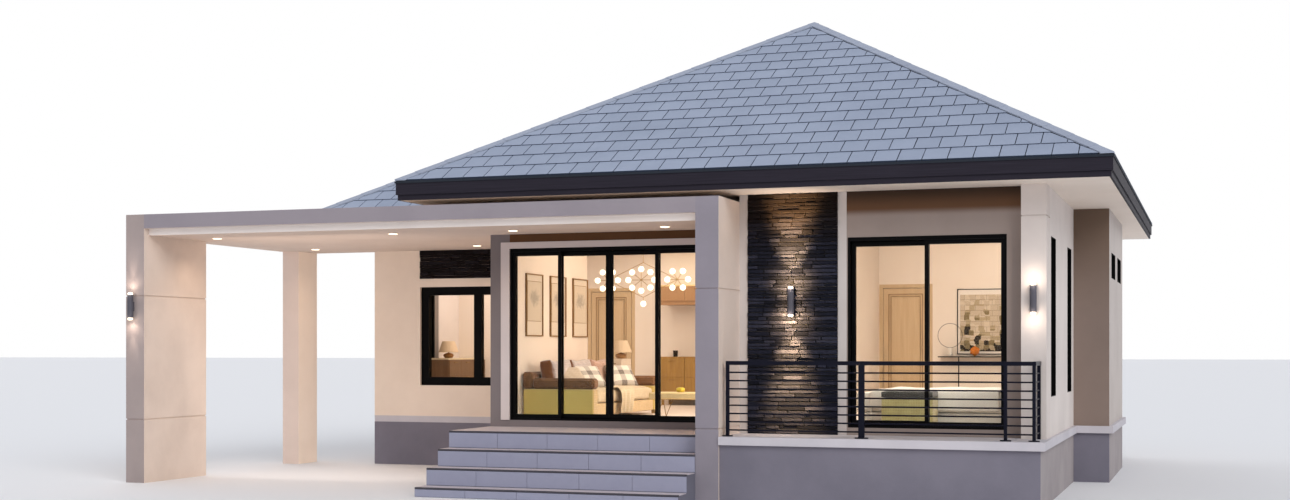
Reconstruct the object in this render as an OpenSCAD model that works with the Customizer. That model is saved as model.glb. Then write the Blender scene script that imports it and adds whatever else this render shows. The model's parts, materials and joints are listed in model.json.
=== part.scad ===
/* [Portal and carport] */
// Width of the portal over the left fin and the right pier
portal_w = 7957; // [7600:1:8400]
// Gap between the portal's top and the soffit of the main roof
portal_gap = 81; // [60:1:120]
// How far the portal stands in front of the house's front wall
portal_reach = 855; // [800:1:1000]
// Thickness of the left fin
fin_t = 275; // [200:1:400]
// Depth of the left fin, front to back
fin_d = 1360; // [800:1:1800]
// Thickness of the right pier
pier_t = 274; // [200:1:350]
// Height of the grey band along the front of the portal
beam_h = 180; // [120:1:220]
// Depth of the grey band, front to back
beam_d = 100; // [60:1:160]
// Thickness of the flat carport roof
flat_roof_t = 264; // [225:1:300]
// Height of the lower groove in the fin and pier
low_groove_z = 815; // [500:1:1000]
// Height of the upper groove in the fin and pier
high_groove_z = 2400; // [2000:1:2700]
// Height of a render groove
groove_h = 14; // [8:1:25]
// Depth of a render groove
groove_d = 10; // [5:1:20]
// Width of the rear carport column
rear_col_w = 270; // [200:1:400]
// Depth of the rear carport column
rear_col_d = 530; // [300:1:700]
// How far the flat roof runs past the front of the wing
flat_roof_past = 100; // [50:1:200]
// From the left fin to the outer downlights
light_outer = 500; // [400:1:800]
// From the bay's corner to the downlights on its left
light_left = 1080; // [800:1:1400]
// From the bay's corner to the first downlight over the landing
light_right = 580; // [400:1:800]
// From the right pier to the last downlight
light_last = 660; // [400:1:900]
// From the portal's front to the front downlights
light_front = 880; // [600:1:1000]
// From the wing's front to the rear downlights
light_rear = 790; // [500:1:1200]

/* [Plan] */
// From the portal's left face to the wing's left wall
wing_left = 1317; // [1000:1:1600]
// Width of the bay and of the entrance steps
bay_w = 3222; // [3000:1:3400]
// Width of the stone accent wall
accent_w = 1278; // [1000:1:1500]
// Width of the bedroom front between accent wall and corner column
bedroom_w = 1987; // [1950:1:2300]
// Width of the corner column
column_w = 273; // [230:1:350]
// How far the corner column stands out in front of the front wall
column_out = 195; // [100:1:300]
// How far the rear block stands out to the right
block_out = 446; // [350:1:550]
// Depth of the rear block along the side
block_d = 2970; // [2800:1:3400]
// How far the bay wall stands behind the front wall
bay_back = 625; // [500:1:800]
// How far the wing stands behind the front wall
wing_back = 3305; // [3200:1:3500]
// Depth of the house from front wall to rear wall
house_d = 8770; // [8500:1:9500]
// Thickness of the outer walls
wall_t = 200; // [150:1:230]
// Thickness of the inner walls
inner_wall_t = 120; // [90:1:150]

/* [Levels] */
// Height of the landing, balcony and ground-floor slab
floor_z = 727; // [650:1:800]
// Thickness of the white slab edge
slab_t = 92; // [70:1:140]
// How far the slab edge stands out past the plinth and the walls
slab_lip = 48; // [30:1:70]
// Thickness of the floor laid in the rooms
room_floor_t = 70; // [40:1:80]
// Height of the walls from slab to soffit
wall_h = 2797; // [2750:1:2900]
// Thickness of the ceiling boards
ceiling_t = 40; // [20:1:60]
// Height of the door sills above the ground slab
sill_h = 86; // [80:1:110]
// Height of the shadow band between door surround and carport ceiling
shadow_h = 102; // [80:1:200]

/* [Balcony and steps] */
// How far the balcony slab reaches in front of the front wall
balcony_d = 875; // [800:1:1100]
// Number of treads below the landing
treads = 3; // [3]
// Depth of each tread
going = 300; // [260:1:330]
// Height of each riser
riser = 205; // [180:1:210]
// How far the landing reaches in front of the front wall
landing_out = 575; // [500:1:700]
// Height of the balcony railing
rail_h = 853; // [800:1:1100]
// Number of round bars in the railing
rail_bars = 8; // [5:1:10]
// Spacing of the round bars
bar_pitch = 93; // [85:1:100]
// Diameter of the round bars
bar_dia = 18; // [12:1:25]
// Height and depth of the handrail
handrail_s = 45; // [30:1:60]
// Width of a railing post
post_w = 36; // [25:1:50]
// From the front of the slab to the middle of the railing
rail_inset = 170; // [100:1:250]
// Diameter of the round foot of a post
foot_dia = 120; // [80:1:160]
// Thickness of the round foot
foot_t = 12; // [6:1:20]
// Gap between the first post's foot and the pier
foot_gap = 3; // [2:1:10]
// Length of the railing's left run
rail_left_w = 1521; // [1400:1:1700]
// Distance between the posts on both sides of the gap in the railing
section_gap = 30; // [20:1:60]
// From the last post but one to the last
rail_end_w = 300; // [200:1:400]
// From the last post to the outer face of the side wall
rail_end_in = 78; // [60:1:120]
// Height of the lowest bar over the slab
first_bar = 73; // [50:1:100]

/* [Roof] */
// Pitch of the roofs in degrees
pitch = 30; // [25:1:33]
// Overhang of the main roof
eave_over = 745; // [700:1:800]
// Overhang of the main roof past the bay's left corner
bay_over = 650; // [600:1:750]
// Overhang of the wing roof
wing_over = 600; // [550:1:650]
// Height of the two fascia boards together
fascia_h = 207; // [180:1:240]
// Height of the upper fascia board
fascia_top_h = 142; // [110:1:160]
// Thickness of the upper fascia board
fascia_t = 40; // [25:1:60]
// How far the lower fascia board stands back
fascia_step = 18; // [8:1:24]
// How far the tiles run past the fascia
tile_lip = 12; // [5:1:30]
// Thickness of the soffit boards
soffit_t = 25; // [15:1:40]
// Thickness of the roof covering, measured upright
roof_t = 140; // [100:1:160]
// Thickness of the tiles at the eaves
tile_edge = 20; // [10:1:30]
// Width of the hip and ridge caps in plan
cap_w = 230; // [150:1:300]
// Height of the hip and ridge caps over the tiles
cap_t = 32; // [20:1:60]
// Open joint where the wing's ridge caps meet the main roof's hip caps
cap_gap = 5; // [3:1:15]

/* [Doors] */
// Width of the grey margin left of the living room door
margin_w = 149; // [120:1:200]
// Width of the grey margin right of the living room door
right_margin_w = 193; // [150:1:230]
// Width of the surround beside the living room door
surround_w = 120; // [80:1:150]
// Height of the surround over the living room door
surround_h = 80; // [50:1:100]
// How far the surround stands out from the wall
surround_out = 15; // [10:1:25]
// Width of the sliding door frames seen from the front
frame_w = 25; // [20:1:60]
// Height of the door frame's head
frame_head = 45; // [35:1:80]
// Height of the door frame's sill
frame_sill = 25; // [15:1:40]
// Depth of the sliding door frames
frame_d = 140; // [136:1:150]
// Thickness of the lip along the room side of a sliding door frame
lip_t = 10; // [5:1:10]
// How far that lip laps over the edges of the sliding panels
lip_lap = 10; // [5:1:20]
// Width of the stiles of a door panel
stile_w = 42; // [36:1:65]
// Height of the top rail of a door panel
top_rail = 50; // [40:1:90]
// Height of the bottom rail of a door panel
bottom_rail = 50; // [40:1:90]
// Thickness of a door panel
panel_t = 40; // [30:1:42]
// Thickness of the glass
glass_t = 10; // [6:1:12]
// Free gap round a moving door panel
run_gap = 8; // [6:1:10]
// Distance between the outer and the inner track
track_gap = 20; // [10:1:22]
// How far the door frames stand back from the wall's face
frame_back = 15; // [5:1:20]
// Height of the pull bars over the sill
pull_z = 900; // [800:1:1100]
// Length of a pull bar
pull_h = 200; // [120:1:300]
// Width of a pull bar
pull_w = 20; // [12:1:30]
// How far a pull bar stands out
pull_out = 6; // [4:1:8]
// Width of the bedroom door
bedroom_door_w = 1799; // [1700:1:1850]
// Margin between accent wall and bedroom door
bedroom_door_left = 11; // [5:1:40]

/* [Windows] */
// Height of the kitchen window's sill over the slab
kitchen_sill = 456; // [300:1:600]
// Height of the kitchen window
kitchen_win_h = 1455; // [1200:1:1500]
// Width of the wall right of the kitchen window
kitchen_right_w = 544; // [400:1:700]
// Width of the wall left of the kitchen window
kitchen_pier_w = 763; // [700:1:900]
// Width of the kitchen window's frame members
kitchen_bar_w = 122; // [80:1:140]
// Height of the band between kitchen window and stone panel
kitchen_band_h = 93; // [60:1:120]
// Depth of the window frames
window_d = 90; // [60:1:120]
// Height of the slender side windows
slender_h = 1800; // [1600:1:1900]
// Width of the slender side windows
slender_w = 540; // [400:1:600]
// Height of the slender windows' sill over the slab
slender_sill = 453; // [350:1:550]
// From the corner column to the first slender window
slender_first = 115; // [100:1:300]
// Spacing of the slender windows
slender_pitch = 2085; // [1500:1:2200]
// Height of the high windows
high_h = 330; // [250:1:450]
// Width of the high windows
high_w = 800; // [600:1:900]
// Height of the high windows' sill over the slab
high_sill = 1923; // [1800:1:2050]
// Spacing of the high windows
high_pitch = 1300; // [1100:1:1400]
// Width of the visible frame on the small windows
small_bar_w = 50; // [30:1:70]
// How far the window frames stand back from the wall's face
window_in = 40; // [20:1:60]
// Width of the windows at the rear and on the left
rear_win_w = 1200; // [900:1:1400]

/* [Stone and lamps] */
// Plain margin beside the stone on the accent wall
stone_margin = 102; // [60:1:150]
// Thickness of the stone cladding
stone_t = 30; // [20:1:50]
// Diameter of a wall lamp
sconce_dia = 76; // [60:1:100]
// Height of a wall lamp
sconce_h = 295; // [200:1:400]
// Height of the wall lamps' lower end
sconce_z = 2117; // [1900:1:2300]
// Free space between a wall lamp and its wall
sconce_off = 22; // [15:1:40]
// Thickness of a wall lamp's tube
sconce_wall = 4; // [2:1:6]
// How far the portal's lamp stands in from the left edge of its fin
fin_lamp_in = 110; // [60:1:180]
// Depth of the open cups at both ends of a wall lamp
sconce_cup = 30; // [20:1:60]
// Thickness of a wall lamp's lens
lens_t = 6; // [3:1:10]
// Width of the plate that holds a wall lamp
plate_w = 36; // [25:1:50]
// Height of the plate that holds a wall lamp
plate_h = 120; // [80:1:160]
// Diameter of the ceiling downlights
downlight_dia = 110; // [80:1:160]
// How far the downlights stand below the carport ceiling
downlight_t = 8; // [4:1:15]

/* [Rooms] */
// From the wing's front to the inner wall behind the rooms
room_back = 4220; // [4000:1:4500]
// From the wing's front to the wall behind the kitchen
kitchen_back = 2470; // [2300:1:2700]
// Width of the store behind the kitchen
store_w = 700; // [600:1:900]
// Height of the inner doors
inner_door_h = 1900; // [1850:1:2100]
// Width of the inner doors
inner_door_w = 735; // [650:1:850]
// Thickness of the inner doors
inner_door_t = 40; // [35:1:45]
// Width of the lining round an inner door
lining_w = 60; // [40:1:80]
// Free gap round an inner door
door_gap = 8; // [6:1:10]
// From the wing's left wall to the living room's inner door
living_door_in = 1783; // [1700:1:1900]
// From the party wall to the bedroom's inner door
bedroom_door_in = 5; // [5:1:60]
// Width of the frame round a door's sunk panel
leaf_rail = 110; // [90:1:140]
// Depth of a door's sunk panel
leaf_sink = 10; // [6:1:14]
// Diameter of a door knob
knob_dia = 50; // [40:1:60]
// How far a door knob stands out
knob_out = 45; // [40:1:60]
// Height of a door knob over the floor
knob_z = 950; // [900:1:1050]
// From a door's free edge to its knob
knob_in = 60; // [50:1:80]
// Diameter of a hinge knuckle
hinge_dia = 12; // [10:1:14]
// Height of a hinge knuckle
hinge_h = 90; // [70:1:110]
// From a door's end to its hinge
hinge_in = 200; // [150:1:250]

/* [Furniture] */
// Gap between furniture and walls
wall_gap = 10; // [5:1:20]
// Depth of the sofa
sofa_d = 1010; // [850:1:1100]
// Length of the sofa
sofa_w = 2600; // [2200:1:2650]
// From the bay's front wall to the sofa
sofa_start = 320; // [250:1:400]
// Height of the sofa's seat
seat_h = 430; // [380:1:480]
// Height of the sofa's arms
arm_h = 600; // [550:1:650]
// Width of a sofa arm
arm_w = 180; // [120:1:220]
// Height of the sofa's back
back_h = 780; // [700:1:850]
// Thickness of the sofa's back with its cushions
back_t = 330; // [250:1:380]
// Length and depth of the lamp table beyond the sofa
side_table_s = 400; // [350:1:450]
// How far the lamp table stands in from the line of the sofa's back
side_table_in = 120; // [0:1:150]
// Gap between the sofa and the lamp table
table_gap = 80; // [50:1:120]
// Height of the sideboards and of the lamp table
board_h = 780; // [700:1:850]
// Depth of the sideboards
board_d = 450; // [400:1:500]
// Length of the sideboards
board_w = 1300; // [1100:1:1400]
// From the living room's inner door to the sideboard
board_in = 600; // [500:1:800]
// Height of the wall cupboard
cupboard_h = 330; // [300:1:450]
// Height of the wall cupboard over the floor
cupboard_z = 1653; // [1500:1:1750]
// Length of the coffee table
coffee_w = 850; // [700:1:1000]
// Depth of the coffee table
coffee_d = 550; // [450:1:650]
// Height of the coffee table
coffee_h = 330; // [300:1:450]
// Thickness of a table top
top_t = 30; // [20:1:40]
// Width of a table leg
leg_w = 25; // [18:1:40]
// From the sofa's front to the coffee table
coffee_in = 520; // [450:1:650]
// From the sofa's near end to the coffee table
coffee_start = 640; // [400:1:900]
// Length of the bed
bed_l = 2100; // [2000:1:2200]
// Width of the bed
bed_w = 1450; // [1400:1:1500]
// From the bedroom's front wall to the bed
bed_start = 725; // [650:1:800]
// Height of the bed
bed_h = 430; // [400:1:550]
// Height of the bed's headboard
headboard_h = 900; // [800:1:1000]
// Thickness of the bed's headboard
headboard_t = 60; // [40:1:80]
// Length of the bench at the bed
bench_w = 600; // [500:1:800]
// Depth of the bench at the bed
bench_d = 400; // [350:1:450]
// From the left end of the bed to the bench
bench_in = 400; // [300:1:600]
// Length of the bedroom's wall table
console_w = 1100; // [1000:1:1200]
// Depth of the bedroom's wall table
console_d = 300; // [250:1:350]
// From the bedroom's inner door to the wall table
console_in = 130; // [80:1:300]
// Width of a picture on the bay's wall
picture_w = 560; // [500:1:600]
// Height of a picture on the bay's wall
picture_h = 830; // [700:1:900]
// Spacing of the pictures on the bay's wall
picture_pitch = 825; // [780:1:840]
// Height of the pictures over the floor
picture_z = 1090; // [1000:1:1200]
// From the bay's front wall to the first picture
picture_in = 450; // [400:1:480]
// Width of the bedroom's picture
large_picture_w = 840; // [700:1:900]
// Height of the bedroom's picture
large_picture_h = 1030; // [900:1:1100]
// Height of the bedroom's picture over the wall table
large_picture_z = 30; // [20:1:100]
// Thickness of a picture frame
picture_t = 30; // [20:1:40]
// Width of a picture frame's bars
picture_bar = 25; // [15:1:40]
// Diameter of a lamp shade
shade_dia = 250; // [200:1:300]
// Height of a lamp shade
shade_h = 190; // [150:1:250]
// Height of a table lamp's foot
lamp_foot_h = 70; // [50:1:120]
// Diameter of a table lamp's foot
lamp_foot_dia = 120; // [80:1:150]
// Radius of the ring lamp
ring_r = 170; // [140:1:200]
// Thickness of the ring lamp's tube
ring_tube = 16; // [10:1:24]
// Height of the hanging lamp's middle over the floor
pendant_z = 1877; // [1800:1:2000]
// From the bay's front wall to the hanging lamp
pendant_in = 2000; // [1800:1:2300]
// From the sofa's front to the hanging lamp's middle
pendant_out = 80; // [0:1:300]
// Radius of the hanging lamp's three rings
pendant_r = 150; // [130:1:180]
// Spacing of the hanging lamp's three rings
pendant_pitch = 525; // [450:1:600]
// Diameter of the hanging lamp's glass balls
ball_dia = 90; // [70:1:110]
// Thickness of the hanging lamp's spokes
pendant_rod = 12; // [10:1:16]
// Thickness of the hanging lamp's slanting rods
slant_t = 8; // [6:1:9]
// Radius of the hubs in the hanging lamp's rings
hub_r = 26; // [22:1:32]
// Diameter of the hanging lamp's middle tube
pendant_tube = 16; // [14:1:20]

/* [Hidden] */
$fn = 32;

// Plan positions, measured from the portal's left face and the front of the bottom tread
pier_x = portal_w - pier_t;
bay_x = pier_x - bay_w;
bedroom_x = portal_w + accent_w;
column_x = bedroom_x + bedroom_w;
side_x = column_x + column_w;
block_x = side_x + block_out;
eave_right = side_x + eave_over;
eave_left = bay_x - bay_over;
wing_eave_left = wing_left - wing_over;
landing_y = treads * going;
front_y = landing_y + landing_out;
portal_y = front_y - portal_reach;
balcony_y = front_y - balcony_d;
eave_front = front_y - eave_over;
column_y = front_y - column_out;
bay_y = front_y + bay_back;
wing_y = front_y + wing_back;
wing_eave_front = wing_y - wing_over;
block_end = wing_y + block_d;
rear_y = front_y + house_d;
eave_rear = rear_y + eave_over;
flat_rear = wing_y + flat_roof_past;

// Levels, measured from the ground
plinth_top = floor_z - slab_t;
room_z = floor_z + room_floor_t;
soffit_z = floor_z + wall_h;
portal_h = soffit_z - portal_gap;
flat_ceiling_z = portal_h - flat_roof_t;
fascia_top = soffit_z + fascia_h;
eave_z = fascia_top + tile_edge;
sill_z = floor_z + sill_h;
head_z = flat_ceiling_z - shadow_h - surround_h;

// Roof slopes
rise = tan(pitch);
main_half = (eave_right - eave_left) / 2;
main_mid = eave_left + main_half;
wing_half = (eave_rear - wing_eave_front) / 2;
wing_ridge_y = wing_eave_front + wing_half;
roof_inset = roof_t / rise;
fascia_in = tile_lip + fascia_t;
cap_join = 30;

// Sliding doors
living_x0 = bay_x + margin_w + surround_w;
living_x1 = pier_x - right_margin_w - surround_w;
living_in = living_x1 - living_x0 - 2 * frame_w;
living_panel_w = (living_in + 2 * stile_w - run_gap) / 4;
bedroom_door_x0 = bedroom_x + bedroom_door_left;
bedroom_door_x1 = bedroom_door_x0 + bedroom_door_w;
bedroom_panel_w = (bedroom_door_w - 2 * frame_w + stile_w) / 2;
outer_track = bay_y + frame_back + (frame_d - 2 * panel_t - track_gap) / 2;
inner_track = outer_track + panel_t + track_gap;
living_in_x = living_x0 + frame_w;
living_end_x = living_in_x + living_in - living_panel_w;
living_left_x = living_in_x + living_panel_w - stile_w;
living_right_x = living_in_x + 2 * living_panel_w - stile_w + run_gap;
bedroom_slide_x = bedroom_door_x0 + frame_w + run_gap;
bedroom_slide_w = bedroom_panel_w - run_gap;
bedroom_end_x = bedroom_slide_x + bedroom_slide_w - stile_w;

// Windows
kitchen_x0 = wing_left + kitchen_pier_w;
kitchen_win_w = bay_x - kitchen_right_w - kitchen_x0;
kitchen_z0 = floor_z + kitchen_sill;
kitchen_z1 = kitchen_z0 + kitchen_win_h;
slender_z = floor_z + slender_sill;
high_z = floor_z + high_sill;
slender_y = front_y + wall_t + slender_first;
high_y = wing_y + (block_d - high_pitch - high_w) / 2;
rear_windows = [1100, 4200, 7600];
left_windows = [330, 2700];

// Railing
rail_y = balcony_y + rail_inset;
rail_x0 = portal_w + foot_dia / 2 + foot_gap;
rail_x1 = side_x - rail_end_in;
rail_mid = rail_x0 + rail_left_w;

// Lamps
fin_lamp = [fin_lamp_in, portal_y];
stone_lamp = [portal_w + accent_w / 2, front_y - stone_t];
column_lamp = [column_x + column_w / 2, column_y];
lamp_places = [fin_lamp, stone_lamp, column_lamp];
front_lights_y = portal_y + light_front;
rear_lights_y = wing_y - light_rear;

// Inner walls and doors
room_rear_y = wing_y + room_back;
kitchen_rear_y = wing_y + kitchen_back;
store_x = wing_left + wall_t + store_w;
party_x = portal_w + (wall_t - inner_wall_t) / 2;
living_door_x = wing_left + living_door_in;
bedroom_inner_x = party_x + inner_wall_t + bedroom_door_in;

// Furniture
bay_in_x = bay_x + wall_t;
bay_in_y = bay_y + wall_t;
sofa_x = bay_in_x + wall_gap;
sofa_y = bay_in_y + sofa_start;
side_table_x = sofa_x + side_table_in;
side_table_y = sofa_y + sofa_w + table_gap;
board_x = living_door_x + inner_door_w + 2 * lining_w + board_in;
board_y = room_rear_y - wall_gap - board_d;
kitchen_board_y = kitchen_rear_y - wall_gap - board_w;
coffee_x = sofa_x + sofa_d + coffee_in;
coffee_y = sofa_y + coffee_start;
bed_x = side_x - wall_t - headboard_t - bed_l;
bed_y = front_y + wall_t + bed_start;
console_x = bedroom_inner_x + inner_door_w + 2 * lining_w + console_in;
console_y = room_rear_y - wall_gap - console_d;
console_top = room_z + board_h + top_t;
pendant_place = [sofa_x + sofa_d + pendant_out, bay_in_y + pendant_in, room_z + pendant_z];

overall_w = eave_right;
overall_d = eave_rear;

// Moves the plan's corner so that the house stands centred over the origin
module place() {
    translate([-overall_w / 2, -overall_d / 2, 0]) children();
}

// A block given by its low and its high corner
module block(a, b) {
    translate(a) cube(b - a);
}

// Outline of the eaves, brought in by i
function eave_outline(i) = [
    [eave_left + i, eave_front + i], [eave_right - i, eave_front + i],
    [eave_right - i, eave_rear - i], [wing_eave_left + i, eave_rear - i],
    [wing_eave_left + i, wing_eave_front + i], [eave_left + i, wing_eave_front + i]];

// Outline of the outer walls
wall_outline = [
    [bay_x, bay_y], [portal_w, bay_y], [portal_w, front_y], [column_x, front_y],
    [column_x, column_y], [side_x, column_y], [side_x, wing_y], [block_x, wing_y],
    [block_x, block_end], [side_x, block_end], [side_x, rear_y], [wing_left, rear_y],
    [wing_left, wing_y], [bay_x, wing_y]];

// Outline of the rooms, inside the outer walls
room_outline = [
    [bay_x + wall_t, bay_y + wall_t], [portal_w + wall_t, bay_y + wall_t],
    [portal_w + wall_t, front_y + wall_t], [side_x - wall_t, front_y + wall_t],
    [side_x - wall_t, wing_y + wall_t], [block_x - wall_t, wing_y + wall_t],
    [block_x - wall_t, block_end - wall_t], [side_x - wall_t, block_end - wall_t],
    [side_x - wall_t, rear_y - wall_t], [wing_left + wall_t, rear_y - wall_t],
    [wing_left + wall_t, wing_y + wall_t], [bay_x + wall_t, wing_y + wall_t]];

// Outline of the slab: lip on the balcony, the side and the rear, flush on the carport side
function slab_outline(o) = [
    [bay_x, bay_y], [portal_w, bay_y], [portal_w, balcony_y + slab_lip - o],
    [side_x + o, balcony_y + slab_lip - o], [side_x + o, wing_y - o],
    [block_x + o, wing_y - o], [block_x + o, block_end + o], [side_x + o, block_end + o],
    [side_x + o, rear_y + o], [wing_left, rear_y + o], [wing_left, wing_y], [bay_x, wing_y]];

// Upright prism over an outline
module slab_over(points, z0, z1) {
    translate([0, 0, z0]) linear_extrude(z1 - z0) polygon(points);
}

// Hip roof over the main rectangle, brought in by i, with an upright skirt below the slopes
module main_hip(i, z, skirt) {
    x0 = eave_left + i;
    x1 = eave_right - i;
    y0 = eave_front + i;
    y1 = eave_rear - i;
    intersection() {
        translate([0, y1, 0]) rotate([90, 0, 0]) linear_extrude(y1 - y0)
            polygon([[x0, z - skirt], [x1, z - skirt], [x1, z],
                [(x0 + x1) / 2, z + (x1 - x0) / 2 * rise], [x0, z]]);
        translate([x0, 0, 0]) rotate([90, 0, 90]) linear_extrude(x1 - x0)
            polygon([[y0, z - skirt], [y1, z - skirt], [y1, z],
                [(y0 + y1) / 2, z + (y1 - y0) / 2 * rise], [y0, z]]);
    }
}

// Hip roof over the wing, with its ridge running on into the main roof
module wing_hip(i, z, skirt) {
    x0 = wing_eave_left + i;
    y0 = wing_eave_front + i;
    y1 = eave_rear - i;
    half = (y1 - y0) / 2;
    intersection() {
        translate([0, y1, 0]) rotate([90, 0, 0]) linear_extrude(y1 - y0)
            polygon([[x0, z - skirt], [main_mid, z - skirt], [main_mid, z + half * rise],
                [x0 + half, z + half * rise], [x0, z]]);
        translate([x0, 0, 0]) rotate([90, 0, 90]) linear_extrude(main_mid - x0)
            polygon([[y0, z - skirt], [y1, z - skirt], [y1, z], [y0 + half, z + half * rise],
                [y0, z]]);
    }
}

// Upright strip of the caps' width from lead before point a to just past point b
module cap_strip(a, b, lead) {
    run = norm(b - a);
    turn = atan2(b[1] - a[1], b[0] - a[0]);
    translate([a[0], a[1], eave_z - cap_t]) rotate([0, 0, turn])
        translate([-lead, -cap_w / 2, 0]) cube([lead + run + cap_join, cap_w, main_half]);
}

// Ring groove round a pier, at height z
module groove(a, b, z) {
    difference() {
        block([a[0] - 1, a[1] - 1, z - groove_h / 2], [b[0] + 1, b[1] + 1, z + groove_h / 2]);
        block([a[0] + groove_d, a[1] + groove_d, z - groove_h],
            [b[0] - groove_d, b[1] - groove_d, z + groove_h]);
    }
}

// Filled base of the house, below the slab
module plinth() {
    color("dimgray") place() slab_over(slab_outline(0), 0, plinth_top);
}

// Ground-floor and balcony slab with its white edge
module floor_slab() {
    color("white") place() slab_over(slab_outline(slab_lip), plinth_top, floor_z);
}

// Floor laid between the outer walls
module room_floor() {
    color("tan") place() slab_over(room_outline, floor_z, room_z);
}

// Solid landing before the living room door
module entrance_landing() {
    color("lightsteelblue") place()
        block([bay_x, landing_y, 0], [pier_x, bay_y, floor_z]);
}

// Treads before the landing, the lowest in front
module entrance_steps() {
    color("lightsteelblue") place() for (k = [0:treads - 1])
        block([bay_x, k * going, 0], [pier_x, (k + 1) * going, floor_z - (treads - k) * riser]);
}

module portal_left_fin() {
    low = [0, portal_y, 0];
    high = [fin_t, portal_y + fin_d, portal_h];
    color("gainsboro") place() difference() {
        block(low, high);
        groove(low, high, low_groove_z);
        groove(low, high, high_groove_z);
    }
}

module portal_right_pier() {
    low = [pier_x, portal_y, 0];
    high = [portal_w, bay_y, portal_h];
    color("gainsboro") place() difference() {
        block(low, high);
        groove(low, high, low_groove_z);
        groove(low, high, high_groove_z);
    }
}

// Grey band that closes the front of the flat roof
module portal_beam() {
    color("darkgray") place()
        block([fin_t, portal_y, portal_h - beam_h], [pier_x, portal_y + beam_d, portal_h]);
}

// Flat roof over carport and landing, notched round the fin and the bay
module carport_roof() {
    y0 = portal_y + beam_d;
    color("antiquewhite") place() slab_over([[fin_t, y0], [pier_x, y0], [pier_x, bay_y],
        [bay_x, bay_y], [bay_x, wing_y], [wing_left, wing_y], [wing_left, flat_rear],
        [0, flat_rear], [0, portal_y + fin_d], [fin_t, portal_y + fin_d]],
        flat_ceiling_z, portal_h);
}

module carport_rear_column() {
    color("antiquewhite") place() block([0, flat_rear - rear_col_d, 0],
        [rear_col_w, flat_rear, flat_ceiling_z]);
}

// Round downlights under the flat roof
module carport_downlights() {
    front = [fin_t + light_outer, bay_x - light_left, bay_x + light_right, pier_x - light_last];
    rear = [fin_t + light_outer, bay_x - light_left];
    color("lightyellow") place() {
        for (x = front) translate([x, front_lights_y, flat_ceiling_z - downlight_t])
            cylinder(d = downlight_dia, h = downlight_t);
        for (x = rear) translate([x, rear_lights_y, flat_ceiling_z - downlight_t])
            cylinder(d = downlight_dia, h = downlight_t);
    }
}

module bay_left_wall() {
    color("antiquewhite") place()
        block([bay_x, bay_y + wall_t, floor_z], [bay_x + wall_t, wing_y + wall_t, soffit_z]);
}

module bay_left_jamb() {
    color("gray") place()
        block([bay_x, bay_y, floor_z], [living_x0, bay_y + wall_t, soffit_z]);
}

// Wall right of the living room door, with the return up to the accent wall
module bay_right_jamb() {
    color("gray") place() {
        block([living_x1, bay_y, floor_z], [portal_w + wall_t, bay_y + wall_t, soffit_z]);
        block([portal_w, front_y + wall_t, floor_z], [portal_w + wall_t, bay_y, soffit_z]);
    }
}

module bay_lintel() {
    color("gray") place()
        block([living_x0, bay_y, head_z], [living_x1, bay_y + wall_t, soffit_z]);
}

module bay_sill() {
    color("gray") place()
        block([living_x0, bay_y, floor_z], [living_x1, bay_y + wall_t, sill_z]);
}

// Raised band at both sides and over the living room door
module living_door_surround() {
    y0 = bay_y - surround_out;
    color("ivory") place() difference() {
        block([living_x0 - surround_w, y0, sill_z], [living_x1 + surround_w, bay_y,
            head_z + surround_h]);
        block([living_x0, y0 - 1, sill_z - 1], [living_x1, bay_y + 1, head_z]);
    }
}

// Frame of a sliding door in the wall whose face is at y
module door_frame(x0, x1, y) {
    y0 = y + frame_back;
    lip = run_gap + lip_lap;
    difference() {
        block([x0, y0, sill_z], [x1, y0 + frame_d, head_z]);
        block([x0 + frame_w, y0 - 1, sill_z + frame_sill],
            [x1 - frame_w, y0 + frame_d - lip_t, head_z - frame_head]);
        block([x0 + frame_w + lip, y0, sill_z + frame_sill + lip],
            [x1 - frame_w - lip, y0 + frame_d + 1, head_z - frame_head - lip]);
    }
}

// One door panel of width w: stiles and rails; gap is 0 on a fixed panel
module door_panel(x0, w, y, gap) {
    z0 = sill_z + frame_sill + gap;
    z1 = head_z - frame_head - gap;
    difference() {
        block([x0, y, z0], [x0 + w, y + panel_t, z1]);
        block([x0 + stile_w, y - 1, z0 + bottom_rail],
            [x0 + w - stile_w, y + panel_t + 1, z1 - top_rail]);
    }
}

// The glass of such a panel, in the middle of its thickness
module door_pane(x0, w, y, gap) {
    y0 = y + (panel_t - glass_t) / 2;
    block([x0 + stile_w, y0, sill_z + frame_sill + gap + bottom_rail],
        [x0 + w - stile_w, y0 + glass_t, head_z - frame_head - gap - top_rail]);
}

// Upright pull bar on the outer face of a panel
module pull_bar(x, y) {
    z = sill_z + pull_z;
    block([x - pull_w / 2, y - pull_out, z], [x + pull_w / 2, y, z + pull_h]);
}

module living_door_frame() {
    color("black") place() door_frame(living_x0, living_x1, bay_y);
}

// Fixed panels on the outer tracks: both ends of the living room door, right of the bedroom's
module fixed_door_panels() {
    color("black") place() {
        door_panel(living_in_x, living_panel_w, outer_track, 0);
        door_panel(living_end_x, living_panel_w, outer_track, 0);
        door_panel(bedroom_end_x, bedroom_panel_w, outer_track - bay_back, 0);
    }
}

module fixed_door_panes() {
    color("lightblue") place() {
        door_pane(living_in_x, living_panel_w, outer_track, 0);
        door_pane(living_end_x, living_panel_w, outer_track, 0);
        door_pane(bedroom_end_x, bedroom_panel_w, outer_track - bay_back, 0);
    }
}

module living_left_panel() {
    color("black") place() {
        door_panel(living_left_x, living_panel_w, inner_track, run_gap);
        pull_bar(living_left_x + living_panel_w - stile_w / 2, inner_track);
    }
}

module living_left_pane() {
    color("lightblue") place()
        door_pane(living_left_x, living_panel_w, inner_track, run_gap);
}

module living_right_panel() {
    color("black") place() {
        door_panel(living_right_x, living_panel_w, inner_track, run_gap);
        pull_bar(living_right_x + stile_w / 2, inner_track);
    }
}

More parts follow.
